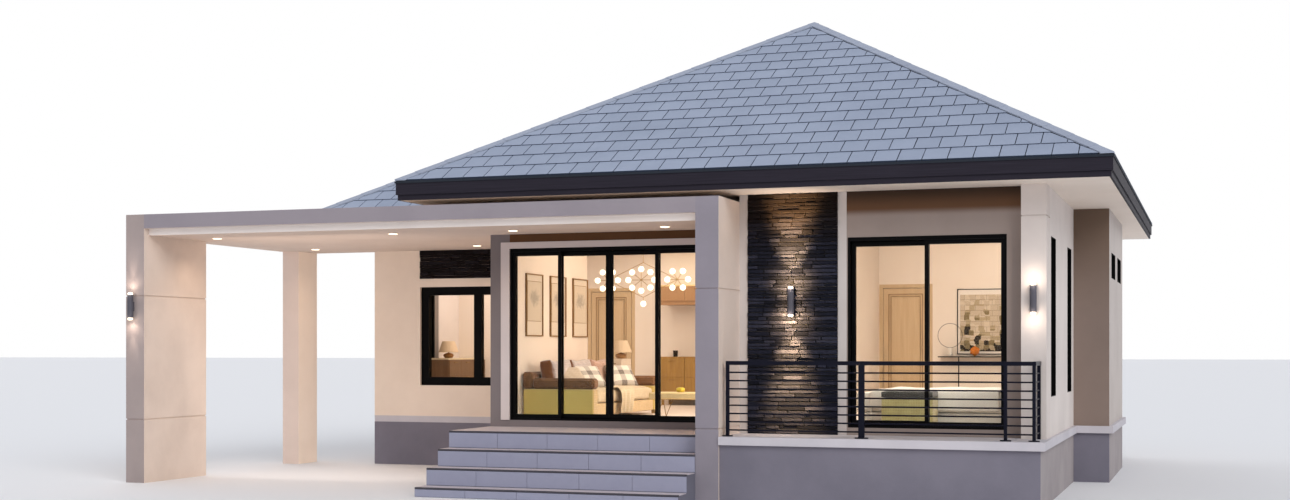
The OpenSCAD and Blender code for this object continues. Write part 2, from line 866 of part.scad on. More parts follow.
module living_right_pane() {
    color("lightblue") place()
        door_pane(living_right_x, living_panel_w, inner_track, run_gap);
}

module accent_wall() {
    color("ivory") place()
        block([portal_w, front_y, floor_z], [bedroom_x, front_y + wall_t, soffit_z]);
}

// Dry-laid stone cladding on the accent wall and over the kitchen window
module stone_cladding() {
    color("darkslategray") place() {
        block([portal_w + stone_margin, front_y - stone_t, floor_z],
            [bedroom_x - stone_margin, front_y, soffit_z]);
        block([kitchen_x0, wing_y - stone_t, kitchen_z1 + kitchen_band_h],
            [bay_x, wing_y, flat_ceiling_z]);
    }
}

// Wall left, right of and below the bedroom door
module bedroom_front_wall() {
    y1 = front_y + wall_t;
    color("rosybrown") place() {
        block([bedroom_x, front_y, floor_z], [column_x, y1, sill_z]);
        block([bedroom_x, front_y, sill_z], [bedroom_door_x0, y1, head_z]);
        block([bedroom_door_x1, front_y, sill_z], [column_x, y1, head_z]);
    }
}

module bedroom_lintel() {
    color("rosybrown") place()
        block([bedroom_x, front_y, head_z], [column_x, front_y + wall_t, soffit_z]);
}

module bedroom_door_frame() {
    color("black") place() door_frame(bedroom_door_x0, bedroom_door_x1, front_y);
}

module bedroom_panel() {
    color("black") place() {
        door_panel(bedroom_slide_x, bedroom_slide_w, inner_track - bay_back, run_gap);
        pull_bar(bedroom_slide_x + stile_w / 2, inner_track - bay_back);
    }
}

module bedroom_pane() {
    color("lightblue") place()
        door_pane(bedroom_slide_x, bedroom_slide_w, inner_track - bay_back, run_gap);
}

// Column at the front right corner, grooved near the top
module corner_column() {
    low = [column_x, column_y, floor_z];
    high = [side_x, front_y + wall_t, soffit_z];
    color("ivory") place() difference() {
        block(low, high);
        groove(low, high, flat_ceiling_z);
    }
}

// Right wall of the bedroom with its two slender windows
module side_wall() {
    color("ivory") place() difference() {
        block([side_x - wall_t, front_y + wall_t, floor_z], [side_x, wing_y, soffit_z]);
        for (k = [0:1]) block([side_x - wall_t - 1, slender_y + k * slender_pitch, slender_z],
            [side_x + 1, slender_y + k * slender_pitch + slender_w, slender_z + slender_h]);
    }
}

// Walls of the block that stands out on the right, with its two high windows
module rear_block_walls() {
    color("rosybrown") place() difference() {
        union() {
            block([side_x - wall_t, wing_y, floor_z], [block_x, wing_y + wall_t, soffit_z]);
            block([block_x - wall_t, wing_y, floor_z], [block_x, block_end, soffit_z]);
            block([side_x - wall_t, block_end - wall_t, floor_z], [block_x, block_end,
                soffit_z]);
        }
        for (k = [0:1]) block([block_x - wall_t - 1, high_y + k * high_pitch, high_z],
            [block_x + 1, high_y + k * high_pitch + high_w, high_z + high_h]);
    }
}

module rear_side_wall() {
    color("ivory") place()
        block([side_x - wall_t, block_end, floor_z], [side_x, rear_y - wall_t, soffit_z]);
}

// Rear wall with three windows like the kitchen's
module rear_wall() {
    color("ivory") place() difference() {
        block([wing_left, rear_y - wall_t, floor_z], [side_x, rear_y, soffit_z]);
        for (x = rear_windows) block([wing_left + x, rear_y - wall_t - 1, kitchen_z0],
            [wing_left + x + rear_win_w, rear_y + 1, kitchen_z1]);
    }
}

// Left wall of the wing with two windows
module wing_left_wall() {
    y0 = wing_y + wall_t;
    color("ivory") place() difference() {
        block([wing_left, y0, floor_z], [wing_left + wall_t, rear_y - wall_t, soffit_z]);
        for (y = left_windows) block([wing_left - 1, y0 + y, kitchen_z0],
            [wing_left + wall_t + 1, y0 + y + rear_win_w, kitchen_z1]);
    }
}

// Front wall of the wing, with the kitchen window and a recess for the stone over it
module wing_front_wall() {
    color("antiquewhite") place() difference() {
        block([wing_left, wing_y, floor_z], [bay_x, wing_y + wall_t, soffit_z]);
        block([kitchen_x0, wing_y - 1, kitchen_z0],
            [kitchen_x0 + kitchen_win_w, wing_y + wall_t + 1, kitchen_z1]);
    }
}

// Window frame in a wall: a is its low corner, size its width and height, n its panes
module window_frame(a, w, h, bar, n) {
    pane = (w - bar) / n;
    translate(a) difference() {
        cube([w, window_d, h]);
        for (k = [0:n - 1]) translate([bar + k * pane, -1, bar])
            cube([pane - bar, window_d + 2, h - 2 * bar]);
    }
}

// The panes of such a window, set in the middle of its frame
module window_glass(a, w, h, bar, n) {
    pane = (w - bar) / n;
    for (k = [0:n - 1]) translate([a[0] + bar + k * pane, a[1] + (window_d - glass_t) / 2,
        a[2] + bar]) cube([pane - bar, glass_t, h - 2 * bar]);
}

// Turns a window made along X so that it stands along Y, in a wall whose outer face is at x
module along_y(x, y) {
    translate([x, y, 0]) rotate([0, 0, 90]) children();
}

module window_frames() {
    color("black") place() {
        window_frame([kitchen_x0, wing_y + window_in, kitchen_z0], kitchen_win_w, kitchen_win_h,
            kitchen_bar_w, 2);
        for (k = [0:1]) {
            along_y(side_x - window_in, slender_y + k * slender_pitch)
                window_frame([0, 0, slender_z], slender_w, slender_h, small_bar_w, 1);
            along_y(block_x - window_in, high_y + k * high_pitch)
                window_frame([0, 0, high_z], high_w, high_h, small_bar_w, 1);
        }
        for (x = rear_windows) window_frame([wing_left + x, rear_y - window_in - window_d,
            kitchen_z0], rear_win_w, kitchen_win_h, small_bar_w, 2);
        for (y = left_windows) along_y(wing_left + window_in + window_d, wing_y + wall_t + y)
            window_frame([0, 0, kitchen_z0], rear_win_w, kitchen_win_h, small_bar_w, 2);
    }
}

module window_panes() {
    color("lightblue") place() {
        window_glass([kitchen_x0, wing_y + window_in, kitchen_z0], kitchen_win_w, kitchen_win_h,
            kitchen_bar_w, 2);
        for (k = [0:1]) {
            along_y(side_x - window_in, slender_y + k * slender_pitch)
                window_glass([0, 0, slender_z], slender_w, slender_h, small_bar_w, 1);
            along_y(block_x - window_in, high_y + k * high_pitch)
                window_glass([0, 0, high_z], high_w, high_h, small_bar_w, 1);
        }
        for (x = rear_windows) window_glass([wing_left + x, rear_y - window_in - window_d,
            kitchen_z0], rear_win_w, kitchen_win_h, small_bar_w, 2);
        for (y = left_windows) along_y(wing_left + window_in + window_d, wing_y + wall_t + y)
            window_glass([0, 0, kitchen_z0], rear_win_w, kitchen_win_h, small_bar_w, 2);
    }
}

// Tiled hip roof over the main body: a shell of even thickness
module main_roof() {
    color("slategray") place() difference() {
        main_hip(0, eave_z, tile_edge);
        main_hip(roof_inset, eave_z, tile_edge + 1);
    }
}

// Everything under the main roof's left slope, drawn out front and back
module under_left_slope() {
    reach = main_half + 1;
    translate([0, eave_rear + 1, 0]) rotate([90, 0, 0]) linear_extrude(eave_rear - eave_front + 2)
        polygon([[eave_left, fascia_top], [eave_left + reach, fascia_top],
            [eave_left + reach, eave_z + reach * rise], [eave_left, eave_z]]);
}

// Tiled hip roof over the wing, cut where it runs into the main roof
module wing_roof() {
    color("slategray") place() difference() {
        wing_hip(0, eave_z, tile_edge);
        wing_hip(roof_inset, eave_z, tile_edge + 1);
        under_left_slope();
    }
}

// Caps along the ridges and hips, seated on the tiles; the wing's end in a mitre at the valley
module roof_caps() {
    apex_front = [main_mid, eave_front + main_half];
    apex_rear = [main_mid, eave_rear - main_half];
    wing_apex = [wing_eave_left + wing_half, wing_ridge_y];
    wing_end = [eave_left + wing_half, wing_ridge_y];
    color("slategray") place() {
        difference() {
            intersection() {
                main_hip(0, eave_z + cap_t, cap_t);
                union() {
                    cap_strip([eave_left, eave_front], apex_front, cap_w);
                    cap_strip([eave_right, eave_front], apex_front, cap_w);
                    cap_strip([eave_right, eave_rear], apex_rear, cap_w);
                    cap_strip(wing_end, apex_rear, -cap_gap);
                    cap_strip(apex_rear, apex_front, cap_join);
                }
            }
            main_hip(0, eave_z, 0);
        }
        difference() {
            intersection() {
                wing_hip(0, eave_z + cap_t, cap_t);
                union() {
                    cap_strip([wing_eave_left, wing_eave_front], wing_apex, cap_w);
                    cap_strip([wing_eave_left, eave_rear], wing_apex, cap_w);
                    cap_strip(wing_apex, wing_end, cap_join);
                }
            }
            wing_hip(0, eave_z, 0);
            under_left_slope();
            translate([wing_end[0], wing_end[1], eave_z]) rotate([0, 0, -45])
                translate([0, -main_half / 2, 0]) cube([main_half, main_half, main_half]);
        }
    }
}

// Top of the outer walls inside the roof, up to the underside of the tiles
module wall_head() {
    color("lightgray") place() intersection() {
        difference() {
            slab_over(wall_outline, soffit_z + ceiling_t, soffit_z + wall_h);
            slab_over(room_outline, soffit_z, soffit_z + wall_h + 1);
        }
        union() {
            main_hip(roof_inset, eave_z, fascia_h + tile_edge);
            difference() {
                wing_hip(roof_inset, eave_z, fascia_h + tile_edge);
                under_left_slope();
            }
        }
    }
}

// Two dark boards one over the other along all eaves
module eave_fascia() {
    split = fascia_top - fascia_top_h;
    color("darkslategray") place() difference() {
        union() {
            slab_over(eave_outline(tile_lip), split, fascia_top);
            slab_over(eave_outline(tile_lip + fascia_step), soffit_z, split);
        }
        slab_over(eave_outline(fascia_in), soffit_z - 1, fascia_top + 1);
    }
}

// White boards under the eaves, between fascia and walls
module eave_soffit() {
    color("white") place() difference() {
        slab_over(eave_outline(fascia_in), soffit_z, soffit_z + soffit_t);
        slab_over(wall_outline, soffit_z - 1, soffit_z + soffit_t + 1);
    }
}

module ceiling() {
    color("white") place() slab_over(wall_outline, soffit_z, soffit_z + ceiling_t);
}

// Railing post with its round foot on the slab
module rail_post(x, y) {
    translate([x, y, floor_z]) {
        cylinder(d = foot_dia, h = foot_t);
        translate([-post_w / 2, -post_w / 2, 0]) cube([post_w, post_w, rail_h]);
    }
}

// One straight run of railing along X
module rail_run(x0, x1) {
    top = floor_z + rail_h;
    block([x0, rail_y - handrail_s / 2, top - handrail_s], [x1, rail_y + handrail_s / 2, top]);
    for (k = [0:rail_bars - 1]) translate([x0, rail_y, floor_z + first_bar + k * bar_pitch])
        rotate([0, 90, 0]) cylinder(d = bar_dia, h = x1 - x0);
}

// Railing of the balcony: two runs in front and a short return to a post at the column
module balcony_railing() {
    top = floor_z + rail_h;
    second = rail_mid + section_gap;
    third = rail_x1 - rail_end_w;
    color("midnightblue") place() {
        rail_run(rail_x0, rail_mid);
        rail_post(rail_x0, rail_y);
        rail_post(rail_mid, rail_y);
        rail_run(second, rail_x1);
        rail_post(second, rail_y);
        rail_post(third, rail_y);
        rail_post(rail_x1, rail_y);
        block([rail_x1 - handrail_s / 2, rail_y - handrail_s / 2, top - handrail_s],
            [rail_x1 + handrail_s / 2, column_y, top]);
        block([rail_x1 - post_w / 2, column_y - post_w, floor_z],
            [rail_x1 + post_w / 2, column_y, top]);
        for (k = [0:rail_bars - 1])
            translate([rail_x1, rail_y, floor_z + first_bar + k * bar_pitch])
                rotate([-90, 0, 0]) cylinder(d = bar_dia, h = column_y - rail_y);
    }
}

// Lamp tube open at both ends, held off the wall by a small plate
module sconce(p) {
    r = sconce_dia / 2;
    translate([p[0], p[1] - sconce_off - r, sconce_z]) {
        difference() {
            cylinder(r = r, h = sconce_h);
            translate([0, 0, sconce_h - sconce_cup])
                cylinder(r = r - sconce_wall, h = sconce_cup + 1);
            translate([0, 0, -1]) cylinder(r = r - sconce_wall, h = sconce_cup + 1);
        }
        translate([-plate_w / 2, r - 2 * sconce_wall, (sconce_h - plate_h) / 2])
            cube([plate_w, sconce_off + 2 * sconce_wall, plate_h]);
    }
}

module wall_sconces() {
    color("dimgray") place() for (p = lamp_places) sconce(p);
}

// Round lenses inside both ends of each lamp
module sconce_lenses() {
    r = sconce_dia / 2;
    color("lightyellow") place() for (p = lamp_places)
        translate([p[0], p[1] - sconce_off - r, sconce_z]) {
            translate([0, 0, sconce_cup - lens_t]) cylinder(r = r - sconce_wall, h = lens_t);
            translate([0, 0, sconce_h - sconce_cup])
                cylinder(r = r - sconce_wall, h = lens_t);
        }
}

// Doorway cut in an inner wall, from the floor up
module doorway(x, y) {
    block([x, y - 1, room_z - 1], [x + inner_door_w + 2 * lining_w, y + inner_wall_t + 1,
        room_z + inner_door_h + lining_w]);
}

// Walls behind and between the rooms, as seen through the glass
module inner_walls() {
    color("blanchedalmond") place() difference() {
        union() {
            block([wing_left + wall_t, room_rear_y, room_z],
                [side_x - wall_t, room_rear_y + inner_wall_t, soffit_z]);
            block([party_x, bay_in_y, room_z], [party_x + inner_wall_t, room_rear_y, soffit_z]);
            block([wing_left + wall_t, kitchen_rear_y, room_z],
                [store_x, kitchen_rear_y + inner_wall_t, soffit_z]);
            block([store_x - inner_wall_t, kitchen_rear_y, room_z],
                [store_x, room_rear_y, soffit_z]);
        }
        doorway(living_door_x, room_rear_y);
        doorway(bedroom_inner_x, room_rear_y);
    }
}

// Timber lining of a doorway
module lining(x, y) {
    w = inner_door_w + 2 * lining_w;
    difference() {
        block([x, y, room_z], [x + w, y + inner_wall_t, room_z + inner_door_h + lining_w]);
        block([x + lining_w, y - 1, room_z - 1],
            [x + w - lining_w, y + inner_wall_t + 1, room_z + inner_door_h]);
    }
}

module inner_door_linings() {
    color("burlywood") place() {
        lining(living_door_x, room_rear_y);
        lining(bedroom_inner_x, room_rear_y);
    }
}

// Inner door leaf with one long sunk panel, a knob and the knuckles of its two hinges
module inner_door(x, y) {
    x0 = x + lining_w + door_gap;
    w = inner_door_w - 2 * door_gap;
    z0 = room_z + door_gap;
    h = inner_door_h - 2 * door_gap;
    difference() {
        block([x0, y, z0], [x0 + w, y + inner_door_t, z0 + h]);
        block([x0 + leaf_rail, y - 1, z0 + leaf_rail],
            [x0 + w - leaf_rail, y + leaf_sink, z0 + h - leaf_rail]);
    }
    translate([x0 + w - knob_in, y, room_z + knob_z]) rotate([90, 0, 0])
        cylinder(d = knob_dia, h = knob_out);
    for (z = [z0 + hinge_in, z0 + h - hinge_in - hinge_h]) translate([x0, y, z])
        cylinder(d = hinge_dia, h = hinge_h);
}

module living_inner_door() {
    color("burlywood") place() inner_door(living_door_x, room_rear_y);
}

module bedroom_inner_door() {
    color("burlywood") place() inner_door(bedroom_inner_x, room_rear_y);
}

// Sofa against the bay's left wall: seat, back and two arms, of the cushions' outer shape
module sofa() {
    x1 = sofa_x + sofa_d;
    y1 = sofa_y + sofa_w;
    color("rosybrown") place() {
        block([sofa_x, sofa_y, room_z], [x1, y1, room_z + seat_h]);
        block([sofa_x, sofa_y + arm_w, room_z], [sofa_x + back_t, y1 - arm_w, room_z + back_h]);
        block([sofa_x, sofa_y, room_z], [x1, sofa_y + arm_w, room_z + arm_h]);
        block([sofa_x, y1 - arm_w, room_z], [x1, y1, room_z + arm_h]);
    }
}

// Bed with its headboard against the side wall
module bed() {
    color("white") place() {
        block([bed_x, bed_y, room_z], [bed_x + bed_l, bed_y + bed_w, room_z + bed_h]);
        block([bed_x + bed_l, bed_y, room_z],
            [bed_x + bed_l + headboard_t, bed_y + bed_w, room_z + headboard_h]);
    }
}

// Table with a thin top on four square legs
module table(x, y, w, d, h) {
    block([x, y, room_z + h - top_t], [x + w, y + d, room_z + h]);
    for (a = [x, x + w - leg_w], b = [y, y + d - leg_w])
        block([a, b, room_z], [a + leg_w, b + leg_w, room_z + h - top_t]);
}

// Cabinets, tables and the bench that show through the glass
module room_furniture() {
    color("tan") place() {
        block([side_table_x, side_table_y, room_z],
            [side_table_x + side_table_s, side_table_y + side_table_s, room_z + board_h]);
        block([board_x, board_y, room_z],
            [board_x + board_w, board_y + board_d, room_z + board_h]);
        block([board_x, room_rear_y - board_d, room_z + cupboard_z],
            [board_x + board_w, room_rear_y, room_z + cupboard_z + cupboard_h]);
        block([wing_left + wall_t + wall_gap, kitchen_board_y, room_z],
            [wing_left + wall_t + wall_gap + board_d, kitchen_board_y + board_w,
                room_z + board_h]);
        table(coffee_x, coffee_y, coffee_w, coffee_d, coffee_h);
        table(console_x, console_y, console_w, console_d, console_top - room_z);
        block([bed_x + bench_in, bed_y - wall_gap - bench_d, room_z],
            [bed_x + bench_in + bench_w, bed_y - wall_gap, room_z + bed_h]);
    }
}

// Picture frame with a sunk field, its back on the plane y = 0 and its face towards -Y
module picture(w, h) {
    difference() {
        translate([0, -picture_t, 0]) cube([w, picture_t, h]);
        translate([picture_bar, -picture_t - 1, picture_bar])
            cube([w - 2 * picture_bar, picture_t / 2 + 1, h - 2 * picture_bar]);
    }
}

// Three pictures on the bay's left wall and a large one over the bedroom's wall table
module wall_pictures() {
    color("saddlebrown") place() {
        for (k = [0:2]) translate([bay_in_x, bay_in_y + picture_in + k * picture_pitch,
            room_z + picture_z]) rotate([0, 0, 90]) picture(picture_w, picture_h);
        translate([console_x + console_w - large_picture_w, room_rear_y,
            console_top + large_picture_z]) picture(large_picture_w, large_picture_h);
    }
}

// Table lamp: foot and tapered shade
module table_lamp(dia, h) {
    cylinder(d = lamp_foot_dia, h = lamp_foot_h);
    translate([0, 0, lamp_foot_h]) cylinder(r1 = dia / 2, r2 = dia / 3, h = h);
}

// Lamps on the lamp table, on the kitchen sideboard and on the bedroom's wall table
module table_lamps() {
    half = side_table_s / 2;
    color("antiquewhite") place() {
        translate([side_table_x + half, side_table_y + half, room_z + board_h])
            table_lamp(shade_dia, shade_h);
        translate([wing_left + wall_t + wall_gap + board_d / 2, kitchen_board_y + board_d,
            room_z + board_h]) table_lamp(shade_dia, shade_h);
        translate([console_x + ring_r, console_y + console_d / 2, console_top]) {
            cylinder(d = lamp_foot_dia, h = foot_t);
            cylinder(d = ring_tube, h = 2 * lamp_foot_h);
            translate([0, 0, 2 * lamp_foot_h + ring_r]) rotate([90, 0, 0])
                rotate_extrude() translate([ring_r, 0]) circle(d = ring_tube);
        }
    }
}

// Glass ball of the hanging lamp
module ball() {
    rotate([90, 45, 0]) sphere(d = ball_dia);
}

// Flat ring of glass balls on spokes round a hub, in the plane y = 0
module ball_ring(balls) {
    rotate([90, 0, 0]) cylinder(r = hub_r, h = 2 * pendant_rod, center = true);
    for (k = [0:balls - 1]) rotate([0, k * 360 / balls, 0]) {
        translate([hub_r - pendant_rod / 2, -pendant_rod / 2, -pendant_rod / 2])
            cube([pendant_r - hub_r, pendant_rod, pendant_rod]);
        translate([pendant_r, 0, 0]) ball();
    }
}

// Slanting rod of the hanging lamp, from the hub of a side ring to the middle tube
module slant_rod(side, rise) {
    run = norm([pendant_pitch, rise]);
    translate([side * pendant_pitch, 0, 0]) rotate([0, -atan2(rise, -side * pendant_pitch), 0])
        translate([hub_r / 2, -slant_t / 2, -slant_t / 2])
            cube([run - hub_r / 2 - slant_t / 2, slant_t, slant_t]);
}

// Hanging lamp: three rings of glass balls in one upright plane, on a rod from the ceiling
module pendant_lamp() {
    drop = pendant_r + ball_dia;
    color("gold") place() translate(pendant_place) {
        for (k = [-1, 1]) {
            translate([k * pendant_pitch, 0, 0]) ball_ring(6);
            slant_rod(k, drop);
            slant_rod(k, -drop);
        }
        ball_ring(8);
        translate([0, 0, pendant_r])
            cylinder(d = pendant_tube, h = soffit_z - pendant_place[2] - pendant_r);
        translate([0, 0, -drop - ball_dia])
            cylinder(d = pendant_tube, h = drop + ball_dia - pendant_r);
        translate([0, 0, -drop - ball_dia]) ball();
    }
}

plinth();
floor_slab();
room_floor();
entrance_landing();
entrance_steps();
portal_left_fin();
portal_right_pier();
portal_beam();
carport_roof();
carport_rear_column();
carport_downlights();
bay_left_wall();
bay_left_jamb();
bay_right_jamb();
bay_lintel();
bay_sill();
living_door_surround();
living_door_frame();
fixed_door_panels();
fixed_door_panes();
living_left_panel();
living_left_pane();
living_right_panel();
living_right_pane();
accent_wall();
stone_cladding();
bedroom_front_wall();
bedroom_lintel();
bedroom_door_frame();
bedroom_panel();
bedroom_pane();
corner_column();
side_wall();
rear_block_walls();
rear_side_wall();
rear_wall();
wing_left_wall();
wing_front_wall();
window_frames();
window_panes();
main_roof();
wing_roof();
roof_caps();
wall_head();
eave_fascia();
eave_soffit();
ceiling();
balcony_railing();
wall_sconces();
sconce_lenses();
inner_walls();
inner_door_linings();
living_inner_door();
bedroom_inner_door();
sofa();
bed();
room_furniture();
wall_pictures();
table_lamps();
pendant_lamp();
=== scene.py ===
import json
import random
from functools import partial
from math import ceil, copysign, cos, pi, radians, sin, tan

import bmesh
import bpy
from mathutils import Matrix, Vector, noise

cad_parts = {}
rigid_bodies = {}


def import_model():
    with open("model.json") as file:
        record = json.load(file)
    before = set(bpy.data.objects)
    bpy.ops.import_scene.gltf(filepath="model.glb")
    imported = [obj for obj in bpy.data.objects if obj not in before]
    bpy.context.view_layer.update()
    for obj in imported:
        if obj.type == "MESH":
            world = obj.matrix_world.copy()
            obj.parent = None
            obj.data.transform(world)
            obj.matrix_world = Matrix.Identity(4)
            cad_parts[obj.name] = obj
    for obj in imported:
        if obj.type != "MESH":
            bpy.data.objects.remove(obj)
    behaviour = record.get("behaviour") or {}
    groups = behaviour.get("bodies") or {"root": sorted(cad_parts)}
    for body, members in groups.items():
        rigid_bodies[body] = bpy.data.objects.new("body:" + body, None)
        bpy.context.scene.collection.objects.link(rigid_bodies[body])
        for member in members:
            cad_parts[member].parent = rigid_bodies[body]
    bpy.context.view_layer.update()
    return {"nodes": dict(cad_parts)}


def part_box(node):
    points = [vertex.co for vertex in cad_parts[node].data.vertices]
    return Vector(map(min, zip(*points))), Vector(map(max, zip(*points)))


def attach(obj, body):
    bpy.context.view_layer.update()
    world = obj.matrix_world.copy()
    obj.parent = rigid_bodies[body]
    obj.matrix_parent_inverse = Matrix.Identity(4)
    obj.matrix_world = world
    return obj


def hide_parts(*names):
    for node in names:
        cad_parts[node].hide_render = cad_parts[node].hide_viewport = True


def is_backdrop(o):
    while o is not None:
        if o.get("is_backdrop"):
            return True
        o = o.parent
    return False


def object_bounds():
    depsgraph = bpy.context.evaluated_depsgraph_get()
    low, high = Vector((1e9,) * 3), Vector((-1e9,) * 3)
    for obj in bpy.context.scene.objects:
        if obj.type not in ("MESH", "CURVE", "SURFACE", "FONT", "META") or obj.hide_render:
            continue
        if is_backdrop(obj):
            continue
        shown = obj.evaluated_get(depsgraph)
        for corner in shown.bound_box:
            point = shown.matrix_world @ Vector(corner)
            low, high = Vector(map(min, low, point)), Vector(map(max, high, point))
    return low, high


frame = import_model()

cad = frame["nodes"]
scene = bpy.context.scene
scene.view_settings.view_transform = "Standard"

# Where the house is looked at from: eye height, in front of its right corner, turned left towards
# the front door. Verticals stay upright, so the frame is shifted instead of tilted.
camera = bpy.data.objects.new("camera", bpy.data.cameras.new("camera"))
scene.collection.objects.link(camera)
camera.data.sensor_width, camera.data.lens = 36.0, 45.59
camera.data.shift_y, camera.data.clip_end = 0.0778, 2000
camera.location = (7.157, -22.495, 1.70)
camera.rotation_euler = (radians(90), 0, radians(19.376))
scene.camera = camera


# The studio: a pale seamless floor, an even white sky and two broad soft lamps, one from the
# front right and a weaker one from behind on the left.
def linear(colour):
    """An sRGB hex colour as linear red, green, blue and alpha."""
    parts = [int(colour[i:i + 2], 16) / 255 for i in (1, 3, 5)]
    return [c / 12.92 if c <= 0.04045 else ((c + 0.055) / 1.055) ** 2.4 for c in parts] + [1.0]


def feed(tree, socket, value):
    """Gives a socket a plain value or a hex colour, or links it to an output, or to the first
    live output of a node."""
    if isinstance(value, bpy.types.Node):
        value = next(output for output in value.outputs if output.enabled)
    if isinstance(value, bpy.types.NodeSocket):
        tree.links.new(value, socket)
    else:
        socket.default_value = linear(value) if str(value).startswith("#") else value


def add(tree, kind, inputs=(), **settings):
    """One node with its settings; a kind in capitals is arithmetic. A list of inputs goes to its
    live sockets in order. Colours are all that is mixed here."""
    if kind.isupper():
        kind, settings = "Math", {"operation": kind, **settings}
    node = tree.nodes.new(kind if "Node" in kind else "ShaderNode" + kind)
    if kind == "Mix":
        node.data_type = "RGBA"
    for key, value in settings.items():
        setattr(node, key, value)
    if isinstance(inputs, dict):
        pairs = [(node.inputs[key], value) for key, value in inputs.items()]
    else:
        pairs = zip([socket for socket in node.inputs if socket.enabled], inputs)
    for socket, value in pairs:
        feed(tree, socket, value)
    return node


def finish(name, **sockets):
    """A new material with its shader's plain sockets set, the means to add a node to it, and its
    object coordinates."""
    material = bpy.data.materials.new(name)
    material.use_nodes = True
    tree = material.node_tree
    for key, value in sockets.items():
        feed(tree, tree.nodes["Principled BSDF"].inputs[key.replace("_", " ")], value)
    return material, partial(add, tree), add(tree, "TexCoord").outputs["Object"]


def lamp(name, kind, power, tint="#FFFFFF", at=(0, 0, 0), aim=(0, 0, -1), only=None, **settings):
    """A lamp at a point, aimed along a direction; only is the group that it lights."""
    data = bpy.data.lights.new(name, kind)
    data.energy, data.color = power, linear(tint)[:3]
    for key, value in settings.items():
        setattr(data, key, value)
    holder = bpy.data.objects.new(name, data)
    holder.location = at
    holder.rotation_euler = Vector(aim).to_track_quat("-Z", "Y").to_euler()
    if only:
        holder.light_linking.receiver_collection = only
    scene.collection.objects.link(holder)
    return holder


sky = bpy.data.worlds.new("sky")
scene.world = sky
sky.use_nodes = True
sky.node_tree.nodes.clear()
node = partial(add, sky.node_tree)
rays = node("LightPath").outputs
seen = node("MAXIMUM", [rays["Is Camera Ray"], rays["Is Glossy Ray"]])
seen = node("MAXIMUM", [seen, rays["Is Transmission Ray"]])
glow = node("Background", {"Color": "#EEF2FA", "Strength": 0.62})
back = node("Background", {"Color": "#FFFFFF", "Strength": 1.0})
node("OutputWorld", {"Surface": node("MixShader", [seen, glow, back])})
for name, power, spread, turn in (("key_lamp", 1.35, 35, (60, 0, 44)),
        ("fill_lamp", 0.6, 60, (55, 0, -130))):
    sun = lamp(name, "SUN", power, angle=radians(spread))
    sun.rotation_euler = [radians(angle) for angle in turn]

far = 300
floor_mesh = bpy.data.meshes.new("floor")
floor_mesh.from_pydata([(-far, -far, 0), (far, -far, 0), (far, far, 0), (-far, far, 0)], [],
    [(0, 1, 2, 3)])
floor_mesh.materials.append(finish("studio floor", Roughness=0.9, Base_Color="#E9E9EB")[0])
floor = bpy.data.objects.new("floor", floor_mesh)
scene.collection.objects.link(floor)
floor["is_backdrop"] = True


# Masonry: rendered and painted concrete block, on a plinth of the same render left grey. Sand
# grains of 2 mm and the sweep of the float show in the paint, and rain dulls the foot of each wall.
def coat(material, colour, relief=None, depth=0.001, strength=0.3, **more):
    """Gives a material its colour and a relief that many metres deep, and hands it back."""
    tree = material.node_tree
    sockets = tree.nodes["Principled BSDF"].inputs
    feed(tree, sockets["Base Color"], colour)
    if relief:
        feed(tree, sockets["Normal"], add(tree, "Bump", {"Height": relief, "Distance": depth,
            "Strength": strength, **more}))
    return material


def dress(material, *names):
    """Gives CAD nodes their finish."""
    for name in names:
        cad[name].data.materials.clear()
        cad[name].data.materials.append(material)


def painted_render(name, colour, dull, front=None, grain=2.0, rough=0.88, head=None,
        front_head=None):
    """Float-finished sand render under masonry paint, dull with cloudy patches and grime near
    the ground. front is the paint of the faces that look to the street, front_head the darker tone
    it fades to under the eaves and how far down, and head the same in two steps for all faces:
    both are painted shadow of the eaves."""
    material, node, place = finish(name, Roughness=rough)
    # a noise takes a place, scale, detail, roughness, lacunarity and distortion
    clouds = node("TexNoise", [place, 1.1, 5.0, 0.6])
    sweeps = node("TexNoise", [place, 9.0, 3.0, 0.5, 2.0, 1.2])
    # the grains are drawn three times as coarse as sand, so that they show
    sand = node("TexNoise", [place, 1000 / (3 * grain)])
    height = node("SeparateXYZ", [place]).outputs["Z"]
    grime = node("MapRange", [height, 0.0, 0.9, 0.55, 0.0])
    cloudy = node("MapRange", [clouds, 0.4, 0.7, 0.0, 0.5])
    worn = node("MULTIPLY", [grime, clouds])
    worn = node("ADD", [worn, cloudy], use_clamp=True)
    paint = node("Mix", [worn, colour, dull])
    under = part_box("eave_soffit")[0].z
    if front:
        facing = node("SeparateXYZ", [node("NewGeometry").outputs["Normal"]]).outputs["Y"]
        facing = node("LESS_THAN", [facing, -0.5])
        street = node("Mix", [worn, *front])
        if front_head:
            fading = node("MapRange", [height, under - front_head[1], under],
                interpolation_type="SMOOTHSTEP")
            street = node("Mix", [fading, street, front_head[0]])
        paint = node("Mix", [facing, paint, street])
    if head:
        # the head darkens the wall in two steps towards the soffit, a painted shadow of the eaves
        tones = (head[0], head[2], head[2] - 0.10), (head[1], head[2] - 0.08, 0.0)
        for tone, start, end in tones:
            eave_shadow = node("MapRange", [height, under - start, under - end],
                interpolation_type="SMOOTHSTEP")
            paint = node("Mix", [eave_shadow, paint, tone])
    coarse = node("Bump", {"Height": sweeps, "Distance": 0.004, "Strength": 0.35})
    return coat(material, paint, sand, 0.0015, 0.6, Normal=coarse)


